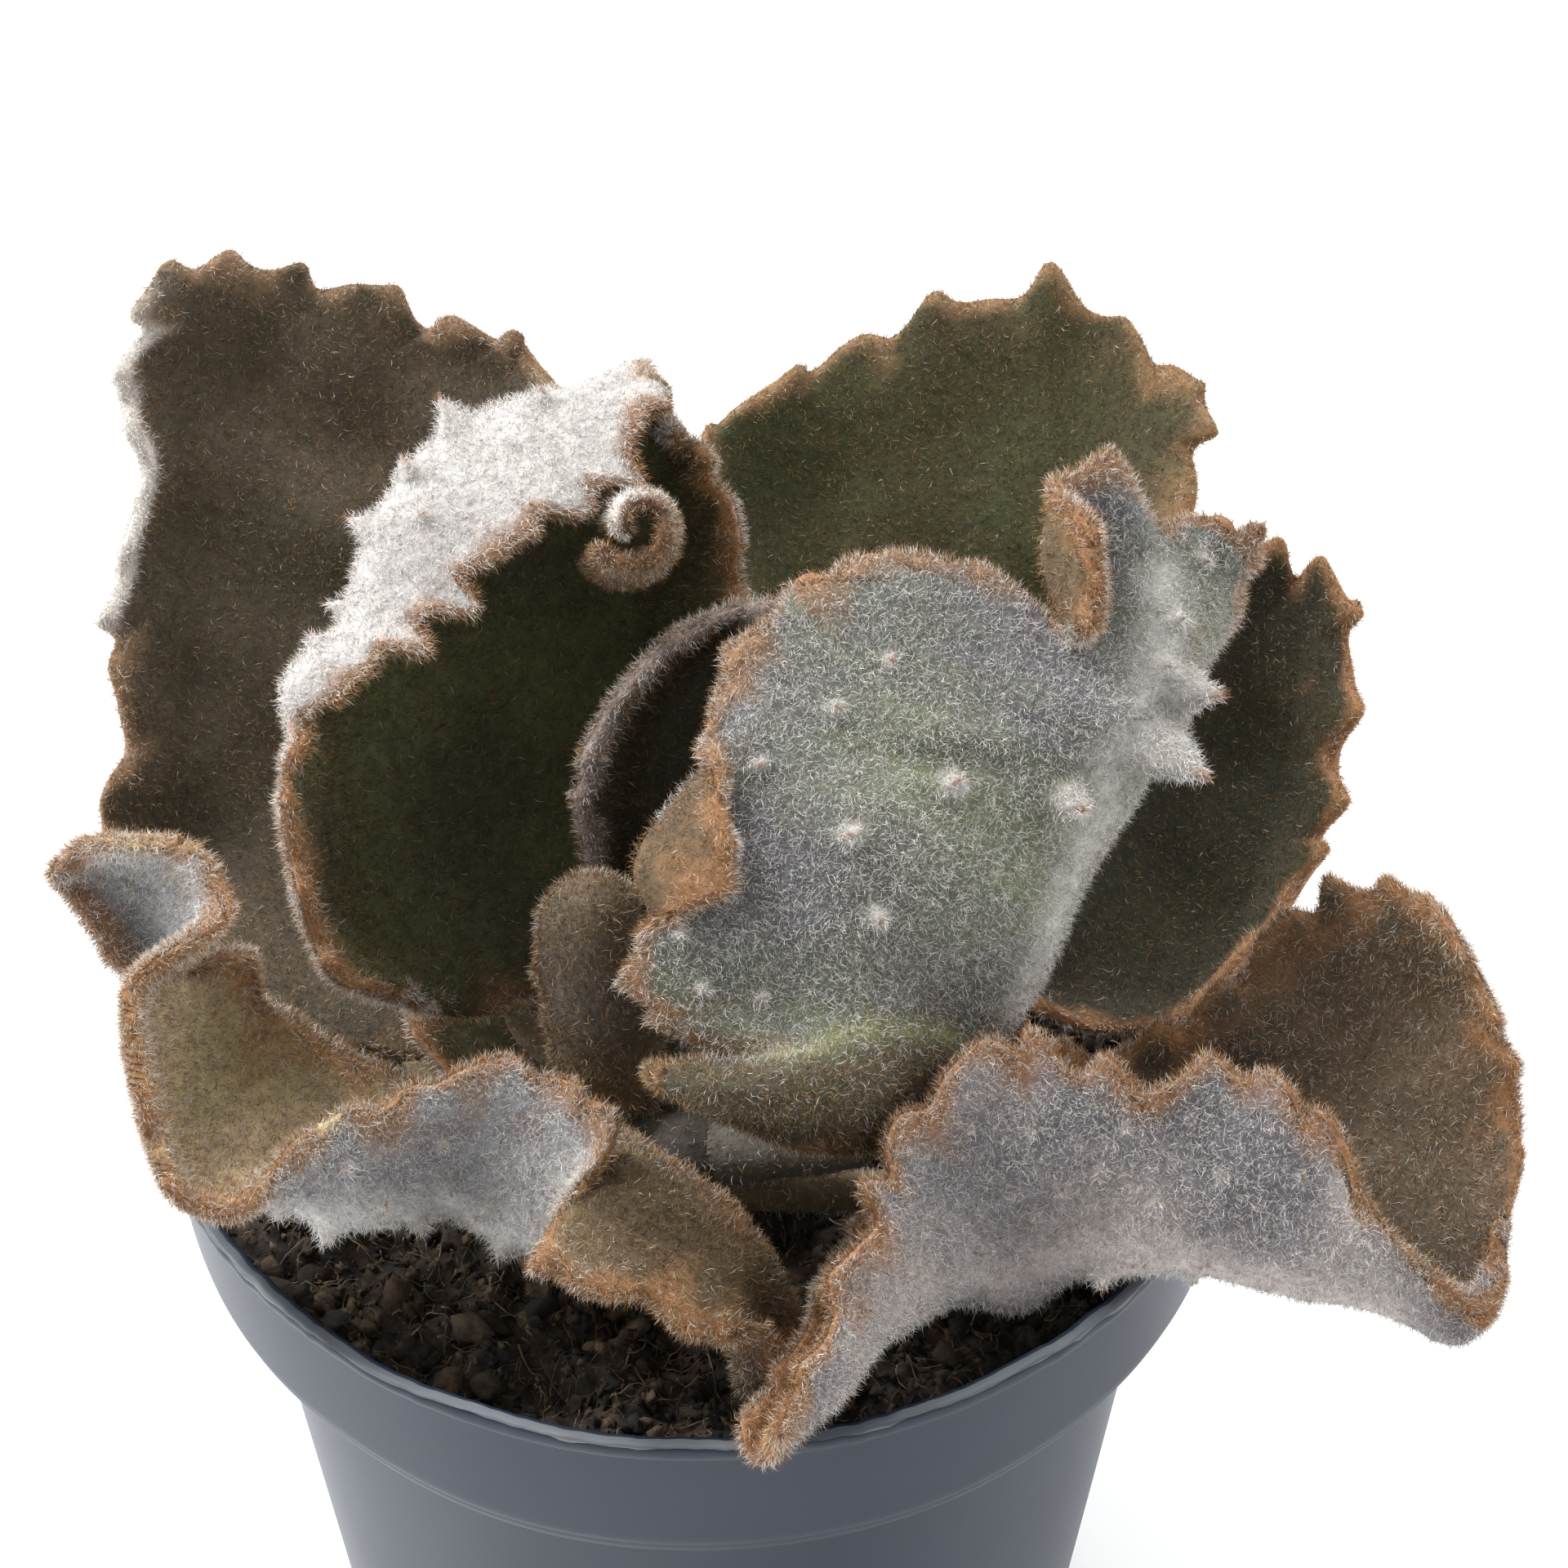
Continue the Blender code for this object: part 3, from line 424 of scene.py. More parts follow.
class Sheet:
    """A leaf blade as a grid: its points, its normals out of the upper face, the distance from
    the margin, and the way out over the nearest margin. Millimetres."""

    def __init__(self, net, upper, shape):
        net = np.array(net, dtype=float)
        self.marks = even_marks(net, 0), even_marks(net, 1)
        self.places = np.linspace(0, 1, shape[0]), crowded(shape[1])
        along, across = [loft_weights(*pair) for pair in zip(self.marks, self.places)]
        self.points = np.einsum("ik,jl,klc->ijc", along, across, net)
        self.upper = upper
        self.lumps = np.zeros(self.points.shape[:2])
        self.lump_push = np.zeros(self.points.shape)
        self.measure()

    def measure(self):
        grid = self.points
        down = np.gradient(grid, axis=0)
        over = np.gradient(grid, axis=1)
        self.normals = unit(np.cross(down, over)) * self.upper
        across = run_length(grid, 1)
        along = run_length(grid, 0)
        over_out = unit(over)
        down_out = unit(down)
        gaps = np.stack([across, across[:, -1:] - across, along[-1:] - along, along])
        ways = np.stack([-over_out, over_out, down_out, -down_out])
        nearest = gaps.argmin(axis=0)
        self.margin = np.take_along_axis(gaps, nearest[None], 0)[0]
        self.on_first = nearest == 0
        self.out = np.take_along_axis(ways, nearest[None, ..., None], 0)[0]
        self.foot = along
        self.edge_run = np.where(nearest < 2, along, along[-1].max() + across)

    def add_teeth(self, seed, pitch, depth, on_first=1.0):
        """Pushes the margins out into uneven pointed teeth with hollows between them. on_first is
        how much of the depth those on the first margin have."""
        run = self.edge_run / pitch
        uneven = run + 0.16 * np.sin(run * 2.3 + seed) + 0.10 * np.sin(run * 4.9 + 2 * seed)
        tooth = (0.5 + 0.5 * np.cos(2 * math.pi * uneven)) ** 1.1
        size = 1 + 0.35 * np.sin(run * 1.7 + 3.1 * seed)
        near = np.exp(-(self.margin / (0.45 * pitch)) ** 2)
        away = smooth_step(self.foot, 1.0, 5.0)
        push = depth * (tooth * size - 0.3) * near * away * np.where(self.on_first, on_first, 1)
        self.points = self.points + self.out * push[..., None]
        self.points = self.points + self.normals * (TOOTH_LIFT * push * near)[..., None]
        self.measure()

    def ripple(self, height, seed):
        swell = waves(self.points, SWELL_LONG, seed) * height
        self.points = self.points + self.normals * swell[..., None]
        self.measure()

    def find(self, row, column):
        """The grid point nearest a place among the sections: row 2.5 lies midway between the
        third section and the fourth."""
        nearest = []
        for spot, marks, places in zip((row, column), self.marks, self.places):
            place = np.interp(spot, np.arange(len(marks)), marks)
            nearest.append(int(np.abs(places - place).argmin()))
        return tuple(nearest)

    def add_tubercles(self, spots):
        """Raises pointed lumps on the under face, each at a row, a column and a height in mm."""
        for row, column, height in spots:
            spot = self.find(row, column)
            away = np.linalg.norm(self.points - self.points[spot], axis=-1)
            cone = np.maximum(0, 1 - away / (0.5 + 0.45 * height)) ** 1.6
            self.lumps = np.maximum(self.lumps, cone)
            self.lump_push = self.lump_push - (cone * height)[..., None] * self.normals[spot]

    def half(self):
        """Half the thickness of the blade: thin and rounded at its margin."""
        inner = np.clip(1 - self.margin / EDGE, 0, 1)
        return BLADE / 2 * np.sqrt(np.maximum(1 - inner**2, 0.03))

    def face(self, above):
        """The points and normals of the upper or the under face."""
        if above:
            return self.points + self.normals * self.half()[..., None], self.normals
        points = self.points - self.normals * self.half()[..., None] + self.lump_push
        return points, -self.normals


# ---------------------------------------------------------------- leaves

def margin_felt(sheet, look, above):
    """How rusty the felt is, 0 to 1: most along the margins, in patches of uneven width, and
    narrower on the under face."""
    width = MARGIN_FELT * look["rim"] * (1 if above else 0.8)
    width = width * (1 + 0.65 * waves(sheet.points, 6, look["seed"]))
    return np.exp(-(sheet.margin / np.maximum(width, 0.3)) ** 2)


def stalk_tone_and_shade_share(sheet, look):
    """How much of the darker tone near the stalk a place has, 0 to 1: partly the leaf's own tone and
    partly painted shade deep in the rosette.
    """
    return 1 - smooth_step(sheet.foot, 0.35 * look["base_long"], look["base_long"])


def pale_side(sheet, look):
    """Where the white under felt shows along the first margin, 0 to 1."""
    if "pale" not in look:
        return np.zeros(sheet.margin.shape)
    start, end = [sheet.find(row, 0)[0] for row in look["pale"]]
    rows = np.arange(len(sheet.margin))[:, None]
    window = smooth_step(rows, start, start + 14) * (1 - smooth_step(rows, end - 14, end))
    gap = run_length(sheet.points, 1) - 0.3 - 0.5 * waves(sheet.points, 9, 90)
    return window * np.exp(-np.maximum(gap, 0) ** 2 / 1.3)


def streak_share(sheet, streak):
    """How much of a streak's tone each place has, 0 to 1. A streak gives the row and the column
    of its two ends, and its width in mm."""
    row, column, last_row, last_column, width = streak
    spots = [sheet.points[sheet.find(row + (last_row - row) * t, column + (last_column - column) * t)]
             for t in np.linspace(0, 1, 32)]
    away = np.min([np.linalg.norm(sheet.points - spot, axis=-1) for spot in spots], axis=0)
    return np.exp(-(away / width) ** 2)


def felt_colours(sheet, above, look):
    """Blade colours under the hair: two tones in soft patches, the tone near the stalk, which is
    partly painted shade, the rusty margin, and the tips of the tubercles."""
    points = sheet.points
    patch = 0.5 + 0.6 * waves(points, 18, look["seed"] + 1)
    fine = 0.5 + 0.5 * waves(points, 4, look["seed"] + 2)
    first, second = look["upper"] if above else look["under"]
    colours = blend_rows(first, second, np.clip(0.75 * patch + 0.25 * fine, 0, 1))
    # Darker towards the stalk: partly the leaf's own tone, partly painted shade deep in the rosette.
    colours = blend_rows(colours, look.get("base", first), stalk_tone_and_shade_share(sheet, look) * 0.85)
    for on_top, streak, tone, _ in look["streaks"]:
        if on_top == above:
            colours = blend_rows(colours, tone, streak_share(sheet, streak) * 0.85)
    if not above:
        colours = blend_rows(colours, STAR_WHITE, np.clip(sheet.lumps * 2, 0, 0.8))
        colours = blend_rows(colours, TIP_RED, smooth_step(sheet.lumps, 0.72, 0.95) * 0.9)
    felt = margin_felt(sheet, look, above) * 0.9
    colours = blend_rows(colours, look["margin"], felt)
    return blend_rows(colours, PALE_EDGE, pale_side(sheet, look))


def blade_mesh(sheet, look):
    """The closed blade: both faces and the narrow strip that joins them at the margin."""
    rows, cols = sheet.points.shape[:2]
    top, _ = sheet.face(True)
    low, _ = sheet.face(False)
    turned = sheet.upper > 0
    around = [(0, j) for j in range(cols)] + [(i, cols - 1) for i in range(1, rows)]
    around += [(rows - 1, j) for j in range(cols - 2, -1, -1)]
    around += [(i, 0) for i in range(rows - 2, 0, -1)]
    ring = np.array([i * cols + j for i, j in around])
    after = np.roll(ring, -1)
    offset = rows * cols
    border = np.stack([ring, ring + offset, after + offset, after], -1)
    faces = [grid_faces(rows, cols, 0, turned), grid_faces(rows, cols, offset, not turned),
             border[:, ::-1] if turned else border]
    verts = np.concatenate([top.reshape(-1, 3), low.reshape(-1, 3)])
    colours = np.concatenate([felt_colours(sheet, True, look).reshape(-1, 3),
                              felt_colours(sheet, False, look).reshape(-1, 3)])
    return verts, faces, colours


def tube(path, radii, sides=28):
    """A tube along a path: its rings of points, and their normals."""
    path = np.asarray(path, dtype=float)
    ahead = unit(np.gradient(path, axis=0))
    side = unit(np.cross(ahead, np.array([0.0, 0.0, 1.0]) + 0.01))
    up = np.cross(side, ahead)
    angles = np.linspace(0, 2 * math.pi, sides, endpoint=False)
    spokes = (side[:, None] * np.cos(angles)[None, :, None]
              + up[:, None] * np.sin(angles)[None, :, None])
    return path[:, None] + spokes * np.asarray(radii)[:, None, None], spokes


def stalk_path(start_high, target, steps=26):
    """A stalk's centre line, from inside the stem out to the blade, first level and then up."""
    target = np.asarray(target, dtype=float)
    flat = target[:2] - np.array(STEM)
    start = np.array([*(np.array(STEM) + unit(flat) * STEM_R * 0.4), start_high])
    middle = (start + target) / 2
    middle[2] = min(start[2], target[2]) + 0.35 * abs(target[2] - start[2])
    t = np.linspace(0, 0.97, steps)[:, None]
    return start * (1 - t) ** 2 + 2 * middle * t * (1 - t) + target * t**2


def sample_grid(points, normals, fields, weight, count):
    """Scatters count places over a grid, more of them where weight is higher. Gives the points,
    the normals and the other fields there."""
    a, b = points[:-1, :-1], points[1:, 1:]
    c, d = points[1:, :-1], points[:-1, 1:]
    area = np.linalg.norm(np.cross(b - a, d - c), axis=-1) / 2
    share = (area * weight[:-1, :-1]).reshape(-1)
    chosen = RNG.choice(len(share), size=count, p=share / share.sum())
    i, j = np.divmod(chosen, points.shape[1] - 1)
    u, v = RNG.random((2, count, 1))

    def at(field):
        field = field if field.ndim == 3 else field[..., None]
        low = field[i, j] * (1 - v) + field[i, j + 1] * v
        high = field[i + 1, j] * (1 - v) + field[i + 1, j + 1] * v
        return low * (1 - u) + high * u

    return at(points), unit(at(normals)), [at(field) for field in fields]


def hair_mesh(name, roots, ways, lengths, kinds):
    """Each hair is a narrow tapering blade of two faces, bent over towards its tip."""
    count = len(roots)
    droop = unit(RNG.normal(size=(count, 3)))
    middle = roots + ways * lengths[:, None] * 0.5
    tip = middle + unit(ways + droop * 0.8) * lengths[:, None] * 0.5
    wide = unit(np.cross(ways, RNG.normal(size=(count, 3)))) * HAIR_HALF_WIDE
    verts = np.stack([roots - wide, roots + wide, middle + wide * 0.8, middle - wide * 0.8, tip],
                     axis=1)
    start = np.arange(count)[:, None] * 5
    mesh = mesh_from(name, verts.reshape(-1, 3),
                     [start + np.array([0, 1, 2, 3]), start + np.array([3, 2, 4])], smooth=False)
    shade = np.clip(kinds + RNG.uniform(-0.07, 0.07, count), 0.01, 0.98)
    u = shade[:, None] + np.array([0, 0.01, 0.01, 0, 0.005])
    uv = np.stack([u, np.broadcast_to(np.array([0, 0, 0.5, 0.5, 1]), u.shape)], axis=-1)
    corners = np.empty(len(mesh.loops), dtype=np.int32)
    mesh.loops.foreach_get("vertex_index", corners)
    layer = mesh.uv_layers.new(name="OFBake")
    layer.data.foreach_set("uv", uv.reshape(-1, 2)[corners].astype(np.float32).reshape(-1))
    return mesh


def pick_kinds(near, inner, rim):
    """A kind of hair for each place. inner and rim give the chances of each kind away from the
    margin and on it, and near says how close the place is to the margin, 0 to 1."""
    near = np.broadcast_to(near, (len(near),))[:, None]
    chances = np.asarray(inner) * (1 - near) + np.asarray(rim) * near
    edges = np.cumsum(chances / chances.sum(axis=1, keepdims=True), axis=1)
    place = (RNG.random((len(near), 1)) > edges).sum(axis=1)
    return np.array(HAIR_KINDS)[np.minimum(place, len(HAIR_KINDS) - 1)]


def furnish(name, sheet, above, look, density):
    """The hair of one face of a leaf: matted over the face, standing out at the margin."""
    points, normals = sheet.face(above)
    extra = 1 + 1.2 * np.exp(-(sheet.margin / 0.9) ** 2)
    step = np.cross(np.gradient(points, axis=0), np.gradient(points, axis=1))
    area = np.linalg.norm(step, axis=-1)
    count = int((area * extra).sum() * density)
    fields = [sheet.margin, sheet.out, margin_felt(sheet, look, above), sheet.lumps,
              pale_side(sheet, look), stalk_tone_and_shade_share(sheet, look)]
    streaks = [streak for streak in look["streaks"] if streak[0] == above]
    fields += [streak_share(sheet, streak[1]) for streak in streaks]
    spots, way, sampled = sample_grid(points, normals, fields, extra, count)
    margin, out, felt, lump, pale, base = sampled[:6]
    near = np.exp(-(margin / 0.8) ** 2)
    random = unit(RNG.normal(size=(count, 3)))
    ways = unit(way * (0.38 + 0.5 * lump) + 0.75 * random * (1 - 0.35 * near) + out * near * 0.9)
    lengths = HAIR_LONG * RNG.uniform(0.5, 1.2, count) * look["long"]
    inner, rim = look["hair_upper"] if above else look["hair_under"]
    kinds = pick_kinds(felt[:, 0], inner, rim)
    # Near the stalk the hair is darker: partly its own colour, partly painted shade deep in the
    # rosette.
    if "base" in look:
        base_and_shade_kinds = pick_kinds(felt[:, 0], *BASE_HAIR_AND_SHADE)
        kinds = np.where(RNG.random(count) < base[:, 0] * 0.9, base_and_shade_kinds, kinds)
    if not above:
        star = RNG.random(count) < smooth_step(lump[:, 0], 0.05, 0.5) * 0.9
        kinds = np.where(star, WHITE_HAIR, kinds)
        kinds = np.where(RNG.random(count) < smooth_step(lump[:, 0], 0.7, 0.95), RUST_HAIR, kinds)
    for (_, _, _, kind), share in zip(streaks, sampled[6:]):
        kinds = np.where(RNG.random(count) < share[:, 0] * STREAK_SHARE, kind, kinds)
    kinds = np.where(RNG.random(count) < pale[:, 0] * 0.9, WHITE_HAIR, kinds)
    bundles = math.ceil(count / MOST_HAIRS)
    for number in range(bundles):
        some = slice(number, None, bundles)
        mesh = hair_mesh(name, (spots - way * HAIR_ROOT)[some], ways[some], lengths[some], kinds[some])
        add_piece(f"{name}_{number + 1}", mesh, HAIR)


def furnish_tube(name, points, spokes, chances, density):
    """The hair of a stalk or of the stem."""
    even = np.ones(points.shape[:2])
    step = np.cross(np.gradient(points, axis=0), np.gradient(points, axis=1))
    count = int(np.linalg.norm(step, axis=-1).sum() * density)
    spots, way, (_,) = sample_grid(points, spokes, [even], even, count)
    ways = unit(way * 0.5 + 0.75 * unit(RNG.normal(size=(count, 3))))
    lengths = HAIR_LONG * RNG.uniform(0.5, 1.0, count)
    kinds = pick_kinds(np.zeros(count), chances, chances)
    mesh = hair_mesh(name, spots - way * HAIR_ROOT, ways, lengths, kinds)
    add_piece(name, mesh, HAIR)


def leaf_stalk(net, look):
    """The stalk's rings of points and their normals. It narrows towards the blade, and closes at
    its end there."""
    high, (row, column), radius = look["stalk"]
    path = stalk_path(high, net[row][column])
    ends = np.sqrt(np.clip(np.linspace(1, 0, len(path)) / 0.12, 0.0004, 1))
    radii = radius * np.linspace(1.25, 0.75, len(path)) * ends
    return tube(path, radii * (1 + 0.05 * waves(path, 5, look["seed"])))


def make_leaf(name, net, upper, look):
    """A leaf's blade and stalk in one mesh, and their hair."""
    sheet = Sheet(net, upper, look["shape"])
    sheet.ripple(look["swell"], look["seed"])
    sheet.add_teeth(look["seed"], *look["teeth"])
    sheet.add_tubercles(look["tubercles"])
    verts, faces, colours = blade_mesh(sheet, look)
    if "stalk" in look:
        around, spokes = leaf_stalk(net, look)
        faces.append(grid_faces(*around.shape[:2], len(verts), False, True))
        verts = np.concatenate([verts, around.reshape(-1, 3)])
        tone = np.broadcast_to(look["stalk_colour"], (len(verts) - len(colours), 3))
        colours = np.concatenate([colours, tone])
    mesh = mesh_from(name, verts, faces)
    paint(mesh, colours)
    piece = add_piece(name + "_blade", mesh, FELT)
    if "stalk" in look:
        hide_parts(name)
    furnish(name + "_hair_upper", sheet, True, look, look["density"][0])
    furnish(name + "_hair_under", sheet, False, look, look["density"][1])
    if "stalk" in look:
        furnish_tube(name + "_stalk_hair", around, spokes, STALK_HAIR, STALK_HAIRS)


# Where the curled tip of leaf_mid_left lies, in mm, and the way it points
CURL_MIDDLE = (-4.5, 11.5, 114.0)
CURL_WAY = (0.1, -0.68, 0.73)


def rolled_tip(middle, way, length, radii, rows=5, columns=12):
    """Cross sections of a leaf tip rolled up like a scroll, along the way it points. It winds
    inwards once, from the first radius to the second, and is wider where it begins."""
    ahead = unit(np.array(way))
    side = unit(np.cross(ahead, (0, 0, 1)))
    up = np.cross(side, ahead)
    share = np.linspace(0, 1, columns)
    angle = math.radians(330) - 2 * math.pi * share
    radius = radii[0] + (radii[1] - radii[0]) * share
    ring = (side * np.cos(angle)[:, None] + up * np.sin(angle)[:, None]) * radius[:, None]
    places = np.linspace(-0.5, 0.5, rows)
    return [np.array(middle) + ahead * length * place + ring * (1.15 - 0.3 * place)
            for place in places]


# Chances of white, silver, cream, tan, rust and dark hair: away from the margin, then on it
RUSTY = (0.06, 0.04, 0.20, 0.20, 0.46, 0.04)
UNDER_HAIR = ((0.40, 0.46, 0.06, 0.03, 0.01, 0.04), (0.22, 0.08, 0.22, 0.12, 0.34, 0.02))
WHITE_UNDER = ((0.66, 0.24, 0.05, 0.02, 0.01, 0.02), (0.30, 0.06, 0.22, 0.10, 0.30, 0.02))
# Darker hair near the stalk, partly painted shade deep in the rosette
BASE_HAIR_AND_SHADE = ((0.03, 0.12, 0.06, 0.36, 0.08, 0.35), RUSTY)
PINK_UNDER = ((0.05, 0.10, 0.20, 0.42, 0.12, 0.11), (0.03, 0.03, 0.10, 0.36, 0.30, 0.18))
DARK_UPPER = ((0.00, 0.01, 0.01, 0.26, 0.04, 0.68), RUSTY)
PINK_RIM = ((0.00, 0.01, 0.01, 0.26, 0.04, 0.68), (0.34, 0.20, 0.12, 0.10, 0.20, 0.04))
GREY_UPPER = ((0.00, 0.02, 0.03, 0.36, 0.07, 0.52), (0.10, 0.08, 0.24, 0.30, 0.22, 0.06))
WARM_UPPER = ((0.05, 0.08, 0.20, 0.34, 0.20, 0.13), RUSTY)
PALE_UPPER = ((0.14, 0.14, 0.30, 0.22, 0.14, 0.06), (0.14, 0.06, 0.24, 0.14, 0.40, 0.02))
RUST_UPPER = ((0.01, 0.02, 0.05, 0.32, 0.26, 0.34), RUSTY)
STALK_HAIR = (0.06, 0.18, 0.08, 0.30, 0.08, 0.30)

CENTRE_TUBERCLES = (
    (7.7, 1.3, 1.3), (5.3, 1.85, 1.8), (6.1, 2.2, 2.0), (3.9, 2.0, 1.6), (6.0, 2.7, 3.2),
    (7.7, 3.0, 5.6), (9.6, 3.0, 4.2), (11.3, 2.8, 1.3), (10.6, 2.6, 1.3), (6.6, 1.2, 1.0),
    (4.2, 0.6, 0.8), (3.4, 0.8, 0.8), (12.5, 3.3, 1.2), (8.6, 1.2, 0.8), (3.0, 1.3, 0.8))
LEFT_TUBERCLES = (
    (7.0, 2.0, 1.5), (7.4, 2.2, 1.6), (8.2, 2.3, 1.3), (8.8, 2.1, 1.6), (9.4, 2.4, 1.3),
    (9.9, 2.0, 1.7), (10.5, 2.2, 1.2), (8.5, 2.6, 1.0), (9.7, 2.7, 0.9), (15.4, 1.8, 1.0))
RIGHT_TUBERCLES = (
    (3.8, 2.4, 0.5), (4.5, 2.1, 0.4), (5.0, 2.7, 0.5), (5.5, 2.3, 0.4), (6.0, 2.6, 0.6),
    (6.4, 2.1, 0.4), (6.9, 2.5, 0.5), (7.4, 2.2, 0.4), (7.9, 2.6, 0.6), (8.4, 2.3, 0.4),
    (8.9, 2.7, 0.5), (9.5, 2.4, 0.4), (5.7, 2.05, 1.5), (7.1, 2.0, 1.0), (4.2, 2.8, 0.5),
    (5.3, 2.5, 0.4), (6.6, 2.8, 0.4), (7.6, 2.8, 0.4), (8.6, 2.1, 0.4), (4.8, 2.4, 0.4))
MID_TUBERCLES = (
    (9.2, 1.0, 2.6), (8.4, 0.9, 1.6), (7.5, 1.0, 1.9), (6.3, 1.0, 1.6), (5.6, 0.9, 1.3),
    (9.8, 0.8, 1.5), (7.9, 0.6, 1.0))
BACK_TUBERCLES = (
    (1.5, 1.0, 1.3), (2.5, 2.0, 1.5), (3.2, 1.0, 1.5), (4.0, 2.2, 1.5), (4.4, 0.6, 1.2),
    (2.0, 2.6, 1.2), (3.6, 1.6, 1.3))

# What a leaf's look says, unless the leaf says otherwise. Lengths are mm.
PLAIN_LOOK = {
    "swell": 0.35,              # height of the waves in the blade
    "rim": 1.0,                 # width of the rusty margin, times MARGIN_FELT
    "long": 1.0,                # length of the hair, times HAIR_LONG
    "base_long": 9.0,           # how far the tone near the stalk, partly painted shade, reaches
    "under": (LILAC_GREY, PALE_GREEN),
    "margin": RUST,
    "hair_upper": DARK_UPPER,
    "hair_under": UNDER_HAIR,
    "stalk_colour": DARK_OLIVE,
    "streaks": (),              # on the upper face or not, the streak, its tone, its hair
    "tubercles": ()}            # row, column and height of each
